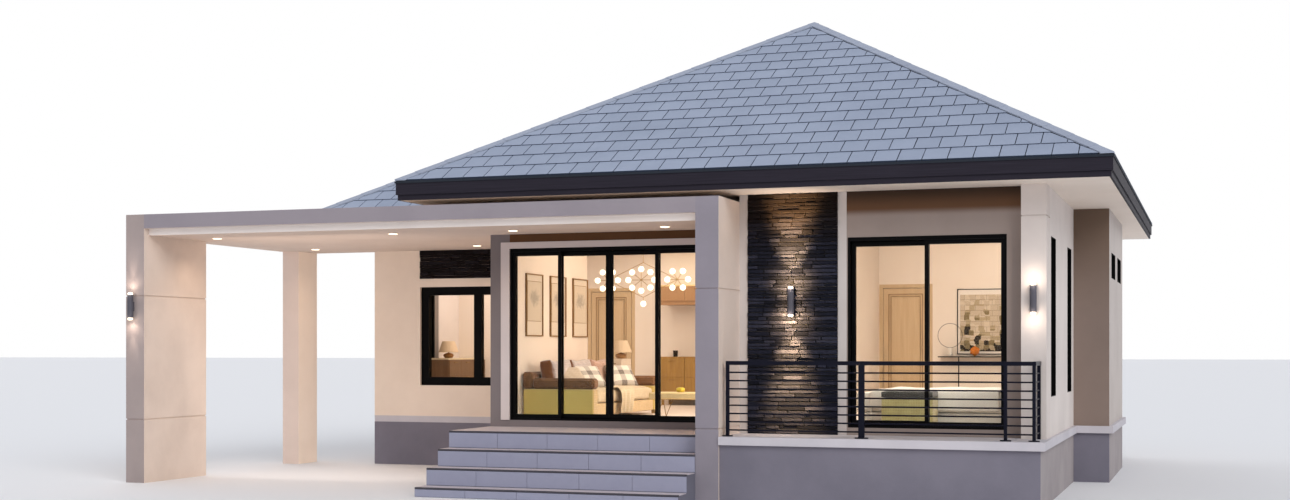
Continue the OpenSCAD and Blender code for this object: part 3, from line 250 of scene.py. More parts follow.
for nodes, name, colour, dull, front, more in (
        ("plinth", "grey plinth render", "#A59C9C", "#8C8486", ("#7E7A86", "#6B6874"),
            {"grain": 3.0}),
        ("floor_slab", "white slab render", "#CDC8CD", "#B4B0B7", None, {}),
        ("side_wall rear_side_wall rear_wall wing_left_wall", "cream wall paint", "#DFD5CF",
            "#CBC1BB", None, {}),
        # the front of the block walls fades darker towards the eaves, a painted shade
        ("rear_block_walls", "block paint", "#C6BCB6", "#B4AAA4", ("#8C7A70", "#7D6C63"),
            {"front_head": ("#6E5A4B", 1.6)}),
        ("wing_front_wall bay_left_wall", "warm wall paint", "#F2E0CF", "#E2CFBD", None, {}),
        # the column's front is painted darker than its sides, a painted shade
        ("carport_rear_column", "carport column paint", "#FBEBDC", "#EBD9C8",
            ("#E6D2C6", "#D7C3B7"), {}),
        ("corner_column", "column paint", "#DBD0C9", "#C9BDB7", None, {}),
        ("accent_wall", "accent margin paint", "#CEC5C0", "#BDB4AF", None, {}),
        # the top of the bedroom wall is painted dark brown under the eaves, a painted shadow of the
        # eaves
        ("bedroom_front_wall bedroom_lintel", "taupe wall paint", "#9C8D85", "#8B7C74", None,
            {"head": ("#65452D", "#33200F", 0.30)}),
        ("bay_left_jamb bay_right_jamb bay_sill", "bay border paint", "#7B7171", "#6D6362",
            None, {}),
        # the band over the living door surround is painted dark brown, a painted shade under the
        # carport's ceiling
        ("bay_lintel", "brown band paint", "#5F3C1C", "#4C2F14", None, {}),
        ("living_door_surround", "white surround paint", "#D3C6C2", "#C1B4B1", None, {}),
        ("inner_walls wall_head", "inner plaster", "#F1E5D9", "#E9DBCC", None, {"grain": 1.0})):
    dress(painted_render(name, colour, dull, front, **more), *nodes.split())

# Portal: two deep fins and the flat roof between them, one coat of cream inside and a cool grey
# on the edges that face the street. The ceiling is cream with a paler band round it.
for nodes, name, colour, dull, front in (
        ("portal_left_fin", "fin paint", "#EAD8CA", "#CFBCAE", ("#A99A96", "#938683")),
        ("portal_right_pier", "pier paint", "#E8D6C9", "#D6C3B4", ("#938C95", "#827C84")),
        ("portal_beam", "band paint", "#D8CBC4", "#C8BAB4", ("#9A9197", "#888087")),
        ("carport_roof", "carport ceiling paint", "#E4D0C1", "#D5BFAE", ("#F6ECE5", "#EADFD7"))):
    dress(painted_render(name, colour, dull, front), nodes)


# Entrance: three treads and a landing of filled masonry, clad in 600 mm porcelain tiles, the
# risers blue-grey and the tops pale, with a dark nosing bar on each edge.
def into_mesh(shape, name):
    """A bmesh as a mesh."""
    mesh = bpy.data.meshes.new(name)
    shape.to_mesh(mesh)
    shape.free()
    return mesh


def solid(name, shape, material, slot, *replaced, body="house"):
    """Puts a finished mesh or bmesh in the scene, on its body. slot is not used."""
    mesh = shape if isinstance(shape, bpy.types.Mesh) else into_mesh(shape, name)
    piece = bpy.data.objects.new(name, mesh)
    scene.collection.objects.link(piece)
    mesh.materials.clear()
    mesh.materials.append(material)
    if replaced:
        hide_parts(*replaced)
    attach(piece, body)
    return piece


def box_into(shape, low, high, bevel=0.0):
    """Adds one box to a bmesh, with its edges rounded by bevel."""
    size = Vector(high) - Vector(low)
    middle = (Vector(high) + Vector(low)) / 2
    made = bmesh.ops.create_cube(shape, size=1.0,
        matrix=Matrix.Translation(middle) @ Matrix.Diagonal((*size, 1.0)))
    if bevel:
        edges = {e for v in made["verts"] for e in v.link_edges}
        bmesh.ops.bevel(shape, geom=list(edges), offset=bevel, segments=1, affect="EDGES")


def porcelain(name, colour, vein):
    """Rectified porcelain floor tile: satin, a faint stone figure, a shade from tile to tile."""
    material, node, place = finish(name, Roughness=0.42)
    figure = node("TexNoise", [place, 6.0, 8.0, 0.65, 2.0, 0.4])
    shade = node("Attribute", attribute_name="shade").outputs["Fac"]
    both = node("MULTIPLY_ADD", [figure, 0.6, -0.05])
    both = node("MULTIPLY_ADD", [shade, 0.35, both], use_clamp=True)
    return coat(material, node("Mix", [both, colour, vein]), figure)


tile_len, tile_t, joint, chamfer = 0.60, 0.010, 0.004, 0.0015
nosing, nosing_depth = 0.022, 0.0352
step_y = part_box("entrance_steps")[0].y
land_low, land_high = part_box("entrance_landing")
tread, riser = 0.300, 0.205
cores, tops, risers, bars = (bmesh.new() for _ in range(4))
edges = [(step_y + k * tread, land_high.z - (3 - k) * riser) for k in range(3)]
edges.append((land_low.y, land_high.z))
x0, x1 = land_low.x, land_high.x
columns = round((x1 - x0) / tile_len)
pitch = (x1 - x0) / columns
for number, (front, top) in enumerate(edges):
    back_edge = edges[number + 1][0] if number < 3 else land_high.y
    under = edges[number - 1][1] if number else 0.0
    behind = back_edge + tile_t * (number < 3)
    box_into(cores, (x0, front + tile_t, 0.0), (x1, behind, top - tile_t))
    box_into(bars, (x0, front, top - nosing), (x1, front + nosing_depth, top), 0.004)
    rows = max(1, round((back_edge - front) / tile_len))
    depth = (back_edge - front - nosing_depth) / rows
    for c in range(columns):
        left, right = x0 + c * pitch + joint / 2, x0 + (c + 1) * pitch - joint / 2
        box_into(risers, (left, front, under + joint),
            (right, front + tile_t, top - nosing - joint / 2), chamfer)
        for r in range(rows):
            near = front + nosing_depth + r * depth + joint / 2
            box_into(tops, (left, near, top - tile_t), (right, near + depth - joint, top), chamfer)
for name, shape, material, *replaced in (
        ("step_core", cores, painted_render("cement grout", "#6F6E7B", "#5E5D69", grain=1.0),
            "entrance_landing", "entrance_steps"),
        ("step_top_tiles", tops, porcelain("pale porcelain", "#C9BFC3", "#B4ABB2")),
        ("step_riser_tiles", risers, porcelain("blue-grey porcelain", "#9A9BAF", "#84859A")),
        ("step_nosings", bars, finish("dark nosing", Roughness=0.5, Base_Color="#3A3740")[0])):
    solid(name, shape, material, "step_tile", *replaced)


# Ledgestone: split slate strips 36 to 60 mm high, laid dry in courses on mortar, each standing
# out by a few millimetres more or less than its neighbours.
def skin(shape, rows, smooth=False, closed=False):
    """Faces between each row of points and the next."""
    for a, b in zip(rows, rows[1:]):
        for k in range(len(a) - (not closed)):
            n = (k + 1) % len(a)
            shape.faces.new((a[k], a[n], b[n], b[k])).smooth = smooth


def slate_strip(shape, low, high, dice, shades):
    """One split strip on a wall that faces -Y, with a riven face and broken edges. shades takes
    its tone, and a dark one along its edges, a painted shade in the joints where it meets its
    neighbours."""
    tone, length, lip = dice.random(), high.x - low.x, 0.007
    count = max(2, round(length / 0.06))
    places = [0.0, lip, *(length * k / count for k in range(1, count)), length - lip, length]
    last = len(places) - 1
    rings = []
    for row, share in enumerate((0.0, 0.16, 0.84, 1.0)):
        z = low.z + (high.z - low.z) * share
        edge = row in (0, 3)
        line = []
        for column, across in enumerate(places):
            rim = edge or column in (0, last)
            back_set = dice.uniform(0.002, 0.006) if rim else 0.0
            slip = dice.uniform(-0.012, 0.012) if 1 < column < last - 1 else 0.0
            depth = low.y + back_set + dice.uniform(0.0, 0.004)
            rough_z = 0.0 if edge else dice.uniform(-0.003, 0.003)
            line.append(shape.verts.new((low.x + across + slip, depth, z + rough_z)))
            # rims take a dark tone, a painted shade in the joints between strips
            shades.append(-1.1 if rim else tone)
        rings.append(line)
    a, b, c, d = (shape.verts.new((x, high.y, z)) for z in (low.z, high.z) for x in (low.x, high.x))
    shades += [tone] * 4
    skin(shape, rings)
    for ring in ([a, b, *reversed(rings[0])], [*rings[3], d, c],
            [a, *(line[0] for line in rings), c],
            [d, *(line[-1] for line in reversed(rings)), b], [a, c, d, b]):
        shape.faces.new(ring)


def ledgestone(shape, shades, low, high, dice):
    """Courses of strips that fill a rectangle of wall."""
    z, gap, least, shortest = low.z, 0.0012, 0.036, 0.12
    while z < high.z - 0.001:
        tall = dice.choice((0.036, 0.044, 0.052, 0.060))
        if high.z - z - tall < least:
            tall = high.z - z
        x = low.x
        while x < high.x - 0.001:
            long = dice.uniform(0.10, 0.38)
            if high.x - x - long < shortest:
                long = high.x - x
            proud = dice.choice((0.0, 0.002, 0.005, 0.009, 0.016))
            slate_strip(shape, Vector((x + gap, low.y + proud, z + gap)),
                Vector((x + long - gap, high.y, z + tall - gap)), dice, shades)
            x += long
        z += tall


def set_stops(ramp, *stops):
    """Places the stops of a colour ramp, from low to high."""
    elements = ramp.color_ramp.elements
    elements[0].position, elements[1].position = stops[0][0], stops[1][0]
    for position, colour in stops[2:]:
        elements.new(position)
    for element, (position, colour) in zip(elements, stops):
        element.color = linear(colour)


stone_low, stone_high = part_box("stone_cladding")
accent_low, accent_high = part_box("accent_wall")
margin = accent_high.x - stone_high.x
stone_t, kitchen_stone_z = 0.030, 2.760
dice, stones, shades = random.Random(11), bmesh.new(), []
for low, high in (
        ((accent_low.x + margin, stone_low.y, stone_low.z),
            (stone_high.x, stone_low.y + stone_t, stone_high.z)),
        ((stone_low.x, stone_high.y - stone_t, kitchen_stone_z),
            (land_low.x, stone_high.y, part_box("carport_roof")[0].z))):
    ledgestone(stones, shades, Vector(low), Vector(high), dice)
stone_mesh = into_mesh(stones, "ledgestone")
stone_mesh.attributes.new("shade", "FLOAT", "POINT").data.foreach_set("value", shades)
slate, node, place = finish("split slate", Roughness=0.85, Specular_IOR_Level=0.15)
mica = node("TexNoise", [place, 60.0, 6.0, 0.7])
tone = node("Attribute", attribute_name="shade").outputs["Fac"]
ramp = node("ValToRGB", [node("MULTIPLY_ADD", [tone, 0.34, mica])])
set_stops(ramp, (0.35, "#040407"), (0.65, "#151724"), (0.95, "#3B3C4B"))
# high under the eaves and under the carport's roof it is painted brown and darker, a painted
# shadow of the eaves and of the carport's roof
where = node("SeparateXYZ", [place]).outputs
stone_shadow = node("MapRange", [where["Z"], stone_high.z - 0.75, stone_high.z - 0.15, 0.0, 0.92],
    interpolation_type="SMOOTHSTEP")
carport_shadow = node("LESS_THAN", [where["X"], accent_low.x])
carport_shadow = node("MULTIPLY", [carport_shadow, 0.8])
stone_shadow = node("MAXIMUM", [stone_shadow, carport_shadow])
coat(slate, node("Mix", [stone_shadow, ramp, "#120803"]), mica, 0.004, 0.4)
ledge = solid("ledgestone", stone_mesh, slate, "dark_stone", "stone_cladding")


# Roof covering: flat concrete slates 266 mm wide in courses 310 mm apart, half a slate off in each
# next course, each lifted at its lower edge by the one under it. They lie on black roofing felt,
# which shows as a line between them, and their edge faces are painted dark, a painted shadow
# line under each course.
def new_tree(name, **sockets):
    """A Geometry Nodes tree with these inputs, the means to add a node to it, and its inputs."""
    tree = bpy.data.node_groups.new(name, "GeometryNodeTree")
    for socket, kind in sockets.items():
        tree.interface.new_socket(socket, in_out="INPUT", socket_type="NodeSocket" + kind)
    tree.interface.new_socket("Geometry", in_out="OUTPUT", socket_type="NodeSocketGeometry")
    return tree, partial(add, tree), add(tree, "NodeGroupInput").outputs


def end_tree(node, made, material):
    """Ends a tree in plain geometry with its material."""
    real = node("GeometryNodeRealizeInstances", [made])
    coated = node("GeometryNodeSetMaterial", {"Geometry": real, "Material": material})
    node("NodeGroupOutput", [coated])


def applied(mesh, kind, inputs=(), frames=0, **settings):
    """What one modifier makes of a mesh, after that many frames. A Geometry Nodes modifier's
    inputs are set through their identifiers."""
    holder = bpy.data.objects.new(kind, mesh)
    scene.collection.objects.link(holder)
    modifier = holder.modifiers.new(kind, kind)
    for key, value in settings.items():
        setattr(modifier.settings if kind == "CLOTH" else modifier, key, value)
    if kind == "CLOTH":
        modifier.settings.effector_weights.gravity = 0.0
    for item in modifier.node_group.interface.items_tree if inputs else ():
        if item.in_out == "INPUT" and item.name in inputs:
            modifier[item.identifier] = inputs[item.name]
    for number in range(1, frames + 1):
        scene.frame_set(number)
    depsgraph = bpy.context.evaluated_depsgraph_get()
    made = bpy.data.meshes.new_from_object(holder.evaluated_get(depsgraph))
    bpy.data.objects.remove(holder)
    return made


courses, node, given = new_tree("slates in courses", Slate="Object", Columns="Int",
    Courses="Int", Pitch="Float", Exposure="Float", Uneven="Float", Seed="Int",
    Material="Material")
wide = node("MULTIPLY", [given["Columns"], given["Pitch"]])
tall = node("MULTIPLY", [given["Courses"], given["Exposure"]])
half_slate = node("MULTIPLY", [given["Pitch"], 0.5])
half_up = node("MULTIPLY", [tall, 0.5])
grid = node("GeometryNodeMeshGrid", [wide, tall, node("ADD", [given["Columns"], 1.0]),
    node("ADD", [given["Courses"], 1.0])])
shift = node("SeparateXYZ", [node("GeometryNodeInputPosition")]).outputs["Y"]
for operation, *term in (("ADD", half_up), ("DIVIDE", given["Exposure"]), ("ROUND",),
        ("MODULO", 2.0), ("MULTIPLY", half_slate)):
    shift = node(operation, [shift, *term])
laid = node("GeometryNodeSetPosition", {"Geometry": grid,
    "Offset": node("CombineXYZ", [shift, half_up])})
least = node("MULTIPLY", [given["Uneven"], -1.0])
turn = node("FunctionNodeRandomValue", {2: least, 3: given["Uneven"], "Seed": given["Seed"]})
copies = node("GeometryNodeInstanceOnPoints", {"Points": laid,
    "Instance": node("GeometryNodeObjectInfo", [given["Slate"]]).outputs["Geometry"],
    "Rotation": node("CombineXYZ", {"Z": turn})})
chance = node("FunctionNodeRandomValue", {2: 0.0, 3: 1.0, "Seed": given["Seed"]})
marked = node("GeometryNodeStoreNamedAttribute", {"Geometry": copies, "Name": "shade",
    "Value": chance}, domain="INSTANCE")
end_tree(node, marked, given["Material"])

slate_w, slate_pitch, exposure, overlap = 0.266, 0.275, 0.310, 0.035
half, long = slate_w / 2, exposure + overlap
shape = bmesh.new()
corners = [shape.verts.new(corner) for low_z, high_z in ((-0.001, -0.001), (0.022, 0.0095))
    for corner in ((-half, 0, low_z), (half, 0, low_z), (half, long, high_z),
        (-half, long, high_z))]
for ring in ((3, 2, 1, 0), (4, 5, 6, 7), (0, 1, 5, 4), (1, 2, 6, 5), (2, 3, 7, 6), (3, 0, 4, 7)):
    shape.faces.new([corners[i] for i in ring])
top_edges = [e for e in shape.edges if all(v.co.z > 0.005 for v in e.verts)]
bmesh.ops.bevel(shape, geom=top_edges, offset=0.003, segments=1, affect="EDGES")
slate_mesh = into_mesh(shape, "one_slate")
# faces that do not look up are marked, to be painted dark as the shadow line under each course
slate_mesh.attributes.new("edge", "FLOAT", "FACE").data.foreach_set("value",
    [float(f.normal.z < 0.35) for f in slate_mesh.polygons])
slate_object = bpy.data.objects.new("one_slate", slate_mesh)

roof_slate, node, place = finish("concrete roof slate", Roughness=0.7, Specular_IOR_Level=0.3)
speckle = node("TexNoise", [place, 150.0, 3.0])
weather = node("TexNoise", [place, 1.7, 6.0, 0.65])
tone = node("Attribute", attribute_name="shade").outputs["Fac"]
tone = node("MULTIPLY_ADD", [tone, 0.22, weather])
tone = node("MULTIPLY_ADD", [speckle, 0.3, tone])
mix = node("Mix", [node("MapRange", [tone, 0.4, 1.3]), "#8B95AA", "#A1ABC0"])
# the marked faces are painted dark, a painted shadow line under each course
course_shadow = node("Attribute", attribute_name="edge").outputs["Fac"]
coat(roof_slate, node("Mix", [course_shadow, mix, "#2A3446"]), speckle, 0.0015, 0.5)
dress(painted_render("roofing felt", "#1B222E", "#12171F", grain=1.5), "main_roof", "wing_roof")

eave_z, pitch_angle = 3.751, radians(30)
main_a, main_b, wing_a = Vector((-2.309, -4.765)), Vector((6.12, 5.495)), Vector((-5.403, -1.315))
front_right, rear_mid = Vector((main_b.x, main_a.y)), Vector((main_a.x, main_b.y))
rear_left, valley_foot = Vector((wing_a.x, main_b.y)), Vector((main_a.x, wing_a.y))
main_half, wing_half = (main_b.x - main_a.x) / 2, (main_b.y - wing_a.y) / 2
ridge_x = (main_a.x + main_b.x) / 2
apex_front, apex_rear = (ridge_x, main_a.y + main_half), (ridge_x, main_b.y - main_half)
wing_apex = (wing_a.x + wing_half, wing_a.y + wing_half)
valley_top = (main_a.x + wing_half, wing_a.y + wing_half)


def saw(shape, at, outward):
    """Cuts off what stands past a plane and closes the cut."""
    bmesh.ops.bisect_plane(shape, geom=shape.verts[:] + shape.edges[:] + shape.faces[:],
        plane_co=at, plane_no=outward, clear_outer=True)
    bmesh.ops.holes_fill(shape, edges=[e for e in shape.edges if e.is_boundary], sides=0)


def slope(corner, along, outline, seed, insets, span=None):
    """One slope of slates. corner is an end of its eave, along the direction of the eave, and
    outline its plan; insets holds back each side of it, at a hip, ridge or valley. span is the
    length of the eave where two slopes share one."""
    along, corner = Vector((*along, 0.0)), Vector((*corner, 0.0))
    uphill = Vector((-along.y, along.x, 0.0))
    rise = uphill * cos(pitch_angle) + Vector((0, 0, sin(pitch_angle)))
    points = [Vector((*p, 0.0)) for p in outline]
    reach = max((p - corner).dot(uphill) for p in points) / cos(pitch_angle)
    span = span or max((p - corner).dot(along) for p in points)
    mesh = applied(bpy.data.meshes.new("slope"), "NODES", {"Slate": slate_object,
        "Columns": ceil(span / slate_pitch) + 2, "Courses": ceil(reach / exposure),
        "Pitch": slate_pitch, "Exposure": exposure, "Uneven": 0.004, "Seed": seed,
        "Material": roof_slate}, node_group=courses)
    start = corner + Vector((0, 0, eave_z)) + along * span / 2 + rise * 0.014
    mesh.transform(Matrix.Translation(start) @ Matrix((along, rise, along.cross(rise)))
        .transposed().to_4x4())
    shape = bmesh.new()
    shape.from_mesh(mesh)
    for p, after, inset in zip(points, points[1:] + points[:1], insets):
        if inset is not None:
            side = (after - p).normalized()
            outward = Vector((side.y, -side.x, 0.0))
            saw(shape, p - outward * inset, outward)
    shape.to_mesh(mesh)
    shape.free()
    return mesh


hip, valley, rear_span = 0.114, 0.05, main_b.x - wing_a.x
for name, slopes in (
        ("main_slates", (
            (main_a, (1, 0), (main_a, front_right, apex_front), 1, (None, hip, hip)),
            (front_right, (0, 1), (front_right, main_b, apex_rear, apex_front), 2,
                (None, hip, hip, hip)),
            (main_b, (-1, 0), (main_b, rear_mid, apex_rear), 3, (None, 0.0, hip), rear_span),
            (rear_mid, (0, -1), (valley_foot, main_a, apex_front, apex_rear, valley_top), 4,
                (None, hip, hip, hip, valley)))),
        ("wing_slates", (
            (wing_a, (1, 0), (wing_a, valley_foot, valley_top, wing_apex), 5,
                (None, valley, hip, hip)),
            (rear_left, (0, -1), (rear_left, wing_a, wing_apex), 6, (None, hip, hip)),
            (main_b, (-1, 0), (rear_mid, rear_left, wing_apex, valley_top), 3,
                (None, hip, hip, 0.0), rear_span)))):
    shape = bmesh.new()
    for row in slopes:
        shape.from_mesh(slope(*row))
    solid(name, shape, roof_slate, "roof_tile")


# Hip and ridge caps: angled concrete tiles bedded over the joints of the slopes, each 0.40 m to
# the next and lapping it by a few centimetres. The lowest of a hip is sawn flush with the eaves.
def cap_line(shape, low, high, falls):
    """Cap tiles from low to high. falls are the unit directions down the two slopes, square to
    the line, which the tiles follow."""
    wing, thick, overlap = 0.105, Vector((0, 0, 0.017)), 0.03
    count = max(1, round((high - low).length / 0.40))
    step = (high - low) / count
    for k in range(count):
        lap = step.normalized() * (overlap if k < count - 1 else 0.0)
        ends = []
        for point, lift in ((low + step * k, 0.031), (low + step * (k + 1) + lap, 0.026)):
            ring = [point + side + Vector((0, 0, lift))
                for side in (falls[0] * wing, Vector(), falls[1] * wing)]
            ring += [p - thick for p in reversed(ring)]
            ends.append([shape.verts.new(p) for p in ring])
        shape.faces.new(ends[0])
        shape.faces.new(reversed(ends[1]))
        for i in range(6):
            j = (i + 1) % 6
            shape.faces.new((ends[0][j], ends[0][i], ends[1][i], ends[1][j]))


def fall(way, line):
    """The direction down the slope that falls this way, square to a hip or ridge line."""
    down = Vector((way[0] * cos(pitch_angle), way[1] * cos(pitch_angle), -sin(pitch_angle)))
    return (down - line * down.dot(line)).normalized()


caps = bmesh.new()
for foot, head, ways in (
        ((*main_a, 0), (*apex_front, main_half), ((0, -1), (-1, 0))),
        ((*front_right, 0), (*apex_front, main_half), ((0, -1), (1, 0))),
        ((*main_b, 0), (*apex_rear, main_half), ((0, 1), (1, 0))),
        ((*valley_top, wing_half), (*apex_rear, main_half), ((0, 1), (-1, 0))),
        ((*apex_rear, main_half), (*apex_front, main_half), ((-1, 0), (1, 0))),
        ((*wing_a, 0), (*wing_apex, wing_half), ((0, -1), (-1, 0))),
        ((*rear_left, 0), (*wing_apex, wing_half), ((0, 1), (-1, 0))),
        ((*wing_apex, wing_half), (*valley_top, wing_half), ((0, -1), (0, 1)))):
    # each end is a plan point and its distance in from the eave
    low, high = (Vector((x, y, eave_z + inward * tan(pitch_angle)))
        for x, y, inward in (foot, head))
    run = (high - low).normalized()
    at_eave = foot[2] == 0
    one_line = bmesh.new()
    cap_line(one_line, low - run * (0.13 if at_eave else 0.0), high,
        [fall(way, run) for way in ways])
    for way in ways if at_eave else ():
        outward = Vector((*way, 0))
        saw(one_line, low - outward * 0.002, outward)
    caps.from_mesh(into_mesh(one_line, "one_line"))
bmesh.ops.recalc_face_normals(caps, faces=caps.faces)
solid("ridge_tiles", caps, painted_render("concrete cap tile", "#9BA3B5", "#888FA2", rough=0.7),
    "roof_tile", "roof_caps")


# Eaves: two charcoal fibre-cement boards one over the other, the upper a little proud, and white
# boards underneath. The woodgrain is pressed into the boards.
def grained(name, light, dark, rough, stretch, depth, strength, gloss=0.5, **figure):
    """A board whose grain is a noise drawn out along it, in colour and in relief."""
    material, node, place = finish(name, Roughness=rough, Specular_IOR_Level=gloss)
    stretched = node("Mapping", {"Vector": place, "Scale": stretch})
    grain = node("TexNoise", {"Vector": stretched, "Scale": 1.0, "Detail": 5.0, **figure})
    return coat(material, node("Mix", [grain, dark, light]), grain, depth, strength)


# fibre-cement board with a pressed woodgrain that runs along it, painted satin
dress(grained("charcoal fascia board", "#35313C", "#17141B", 0.6, (1.5, 1.5, 110.0), 0.0015, 0.5,
    0.12, Roughness=0.6), "eave_fascia")
dress(painted_render("white soffit board", "#F8EADC", "#EEDECE", grain=0.7, rough=0.6),
    "eave_soffit", "ceiling")


# Metal: door and window frames of powder-coated aluminium, near black; the balcony railing is
# welded steel under navy gloss paint; the wall lamps are cast aluminium.
def coated_metal(name, colour, rough, orange_peel, gloss=0.25):
    """Powder or gloss paint on metal: smooth, with the slight ripple that such a coat dries to."""
    material, node, place = finish(name, Roughness=rough, Specular_IOR_Level=gloss)
    ripple = node("TexNoise", [place, orange_peel, 2.0])
    wear = node("TexNoise", [place, 4.0, 5.0])
    wear = node("MapRange", [wear, 0.0, 1.0, 0.8, 1.25])
    tone = node("HueSaturation", {"Color": colour, "Value": wear})
    return coat(material, tone, ripple, 0.0006, 0.4)


powder_black = coated_metal("black powder coat", "#070607", 0.5, 400.0, 0.07)
dress(powder_black, "living_door_frame", "bedroom_door_frame", "fixed_door_panels",
    "living_left_panel", "living_right_panel", "bedroom_panel", "window_frames")
dress(coated_metal("navy gloss paint", "#0C0D1C", 0.35, 250.0, 0.12), "balcony_railing")
dress(coated_metal("grey cast metal", "#56545C", 0.45, 300.0), "wall_sconces")


# Linings of folded black aluminium sheet in the openings of the side windows, from the frame out
# to the wall's face.
def four_bars(a, z0, b, z1, bar, between=True):
    """The corners of the four bars of a frame: its uprights, and its rails between or over them."""
    cut = bar if between else 0.0
    return (((a, z0), (a + bar, z1)), ((b - bar, z0), (b, z1)),
        ((a + cut, z0), (b - cut, z0 + bar)), ((a + cut, z1 - bar), (b - cut, z1)))


lining, sheet_t = bmesh.new(), 0.003
for x0, x1, starts, length, z0, z1 in (
        (5.335, 5.378, (-3.705, -1.62), 0.54, 1.18, 2.98),
        (5.781, 5.824, (-0.28, 1.02), 0.80, 2.65, 2.98)):
    for y0 in starts:
        for a, b in four_bars(y0, z0, y0 + length, z1, sheet_t):
            box_into(lining, (x0, *a), (x1, *b))
solid("window_linings", lining, powder_black, "black_aluminium")

# Glass: clear float panes 10 mm thick, with the faint green of iron.
# The panes that look to the side and the rear are darkened, a painted shade for the unlit rooms
# behind them.
glass = finish("clear float glass", Roughness=0.0, IOR=1.15, Transmission_Weight=1.0,
    Base_Color="#F6FAF9")[0]
dress(glass, "living_left_pane", "living_right_pane", "bedroom_pane", "fixed_door_panes")
darkened, node, place = finish("smoked float glass", Roughness=0.0, IOR=1.03, Transmission_Weight=1.0)
where = node("SeparateXYZ", [place]).outputs
side_pane = node("GREATER_THAN", [where["X"], 5.0])
rear_pane = node("GREATER_THAN", [where["Y"], 0.0])
unlit_room_shade = node("MAXIMUM", [side_pane, rear_pane])
dress(coat(darkened, node("Mix", [unlit_room_shade, "#F6FAF9", "#26282C"])), "window_panes")

# Lit lenses of the downlights, and the opal glass ends that stand out of the wall lamps.
opal = finish("lit opal glass", Roughness=0.3, Base_Color="#FFF3DF", Emission_Color="#FFE9CC",
    Emission_Strength=2.2)[0]
dress(opal, "carport_downlights")
sconce_low, sconce_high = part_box("wall_sconces")
wall_lamps = (("fin", -6.010, -4.875), ("stone", 2.476, -4.050), ("column", 5.2385, -4.215))
shape = bmesh.new()
for name, x, wall_y in wall_lamps:
    for z in (sconce_low.z - 0.006, sconce_high.z + 0.006):
        ends = bmesh.ops.create_cone(shape, cap_ends=True, segments=32, radius1=0.031,
            radius2=0.031, depth=0.046, matrix=Matrix.Translation((x, wall_y - 0.060, z)))
        rims = {e for v in ends["verts"] for e in v.link_edges
            if abs(e.verts[0].co.z - e.verts[1].co.z) < 1e-4}
        bmesh.ops.bevel(shape, geom=list(rims), offset=0.006, segments=3, affect="EDGES")
solid("lamp_ends", shape, opal, "lamp_glow", "sconce_lenses")


# Inside: porcelain floor, doors of tan veneer in linings of the same veneer, and plain furniture.
def veneer(name, light, dark):
    """Crown-cut oak veneer under lacquer, its grain running up the piece."""
    return grained(name, light, dark, 0.4, (28.0, 28.0, 1.6), 0.0005, 0.3, Distortion=0.6)


dress(porcelain("inner floor porcelain", "#F2E6DC", "#E0D1C4"), "room_floor")
dress(veneer("tan door veneer", "#DCC4A0", "#C3A57F"), "living_inner_door",
    "bedroom_inner_door", "inner_door_linings")
moulding_skin = veneer("door moulding", "#A98A63", "#8D6E4B")
face_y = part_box("inner_door_linings")[0].y
for leaf in ("living", "bedroom"):
    leaf_low, leaf_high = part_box(leaf + "_inner_door")
    shape = bmesh.new()
    for inset, strip in ((0.085, 0.014), (0.125, 0.008)):
        for a, b in four_bars(leaf_low.x + inset, leaf_low.z + inset, leaf_high.x - inset,
                leaf_high.z - inset, strip):
            box_into(shape, (a[0], face_y - 0.006, a[1]), (b[0], face_y + 0.002, b[1]), 0.002)
    solid(leaf + "_inner_door_mouldings", shape, moulding_skin, "door_wood",
        body=leaf + "_room_inner_door")


# Pictures: thin bronze frames with a cream mount behind glass, each with a small washed-out ink
# blot; the large one has a dark frame, a white mount and a print of plain grey blocks.
def framed(bars, mounts, prints, low, high, bar, mount, flat):
    """One picture on a wall: frame bars, mount and print. mount is its margin at the sides, and
    its share of the height below the print; flat is the axis across the wall."""
    face, back = (high[0], low[0]) if flat == 0 else (low[1], high[1])

    def slabs(shape, corners, x0, x1):
        for (w0, z0), (w1, z1) in corners:
            near, far = [w0, w0, z0], [w1, w1, z1]
            near[flat], far[flat] = sorted((x0, x1))
            box_into(shape, near, far, 0.001)

    w0, w1, z0, z1 = low[1 - flat], high[1 - flat], low[2], high[2]
    middle = back + (face - back) * 0.4
    proud = middle + (face - back) * 0.08
    slabs(bars, four_bars(w0, z0, w1, z1, bar), back, face)
    slabs(mounts, [((w0 + bar, z0 + bar), (w1 - bar, z1 - bar))], back, middle)
    side, above = mount[0], z0 + (z1 - z0) * mount[1]
    a, b, top = w0 + side, w1 - side, z1 - 2 * side
    slabs(prints, [((a, above), (b, top))], middle, proud)
    slabs(bars, four_bars(a, above, b, top, 0.007, False), middle, proud + 0.001)


bars, mounts, prints, dark_bars, white_mounts, sheets = (bmesh.new() for _ in range(6))
first_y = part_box("wall_pictures")[0].y
for k in range(3):
    y = first_y + 0.825 * k
    framed(bars, mounts, prints, (-1.459, y, 1.887), (-1.433, y + 0.56, 2.717), 0.016,
        (0.048, 0.24), 0)
framed(dark_bars, white_mounts, sheets, (3.247, 3.479, 1.637), (4.087, 3.505, 2.667), 0.012,
    (0.045, 0.045), 1)
washed, node, place = finish("ink wash on paper", Roughness=0.85)
split = node("SeparateXYZ", [place]).outputs
along = node("ADD", [split["Y"], -first_y - 0.28])
along = node("WRAP", [along, 0.4125, -0.4125])
along = node("MULTIPLY", [along, 4.0])
upward = node("ADD", [split["Z"], -2.40])
upward = node("MULTIPLY", [upward, 6.5])
spread = node("VectorMath", [node("CombineXYZ", [along, upward])], operation="LENGTH")
wisps = node("TexNoise", [place, 22.0, 6.0])
blot = node("MULTIPLY_ADD", [wisps, 1.6, -0.35])
blot = node("SUBTRACT", [blot, spread])
blot = node("MapRange", [blot, -0.35, 0.15, 0.0, 0.45])
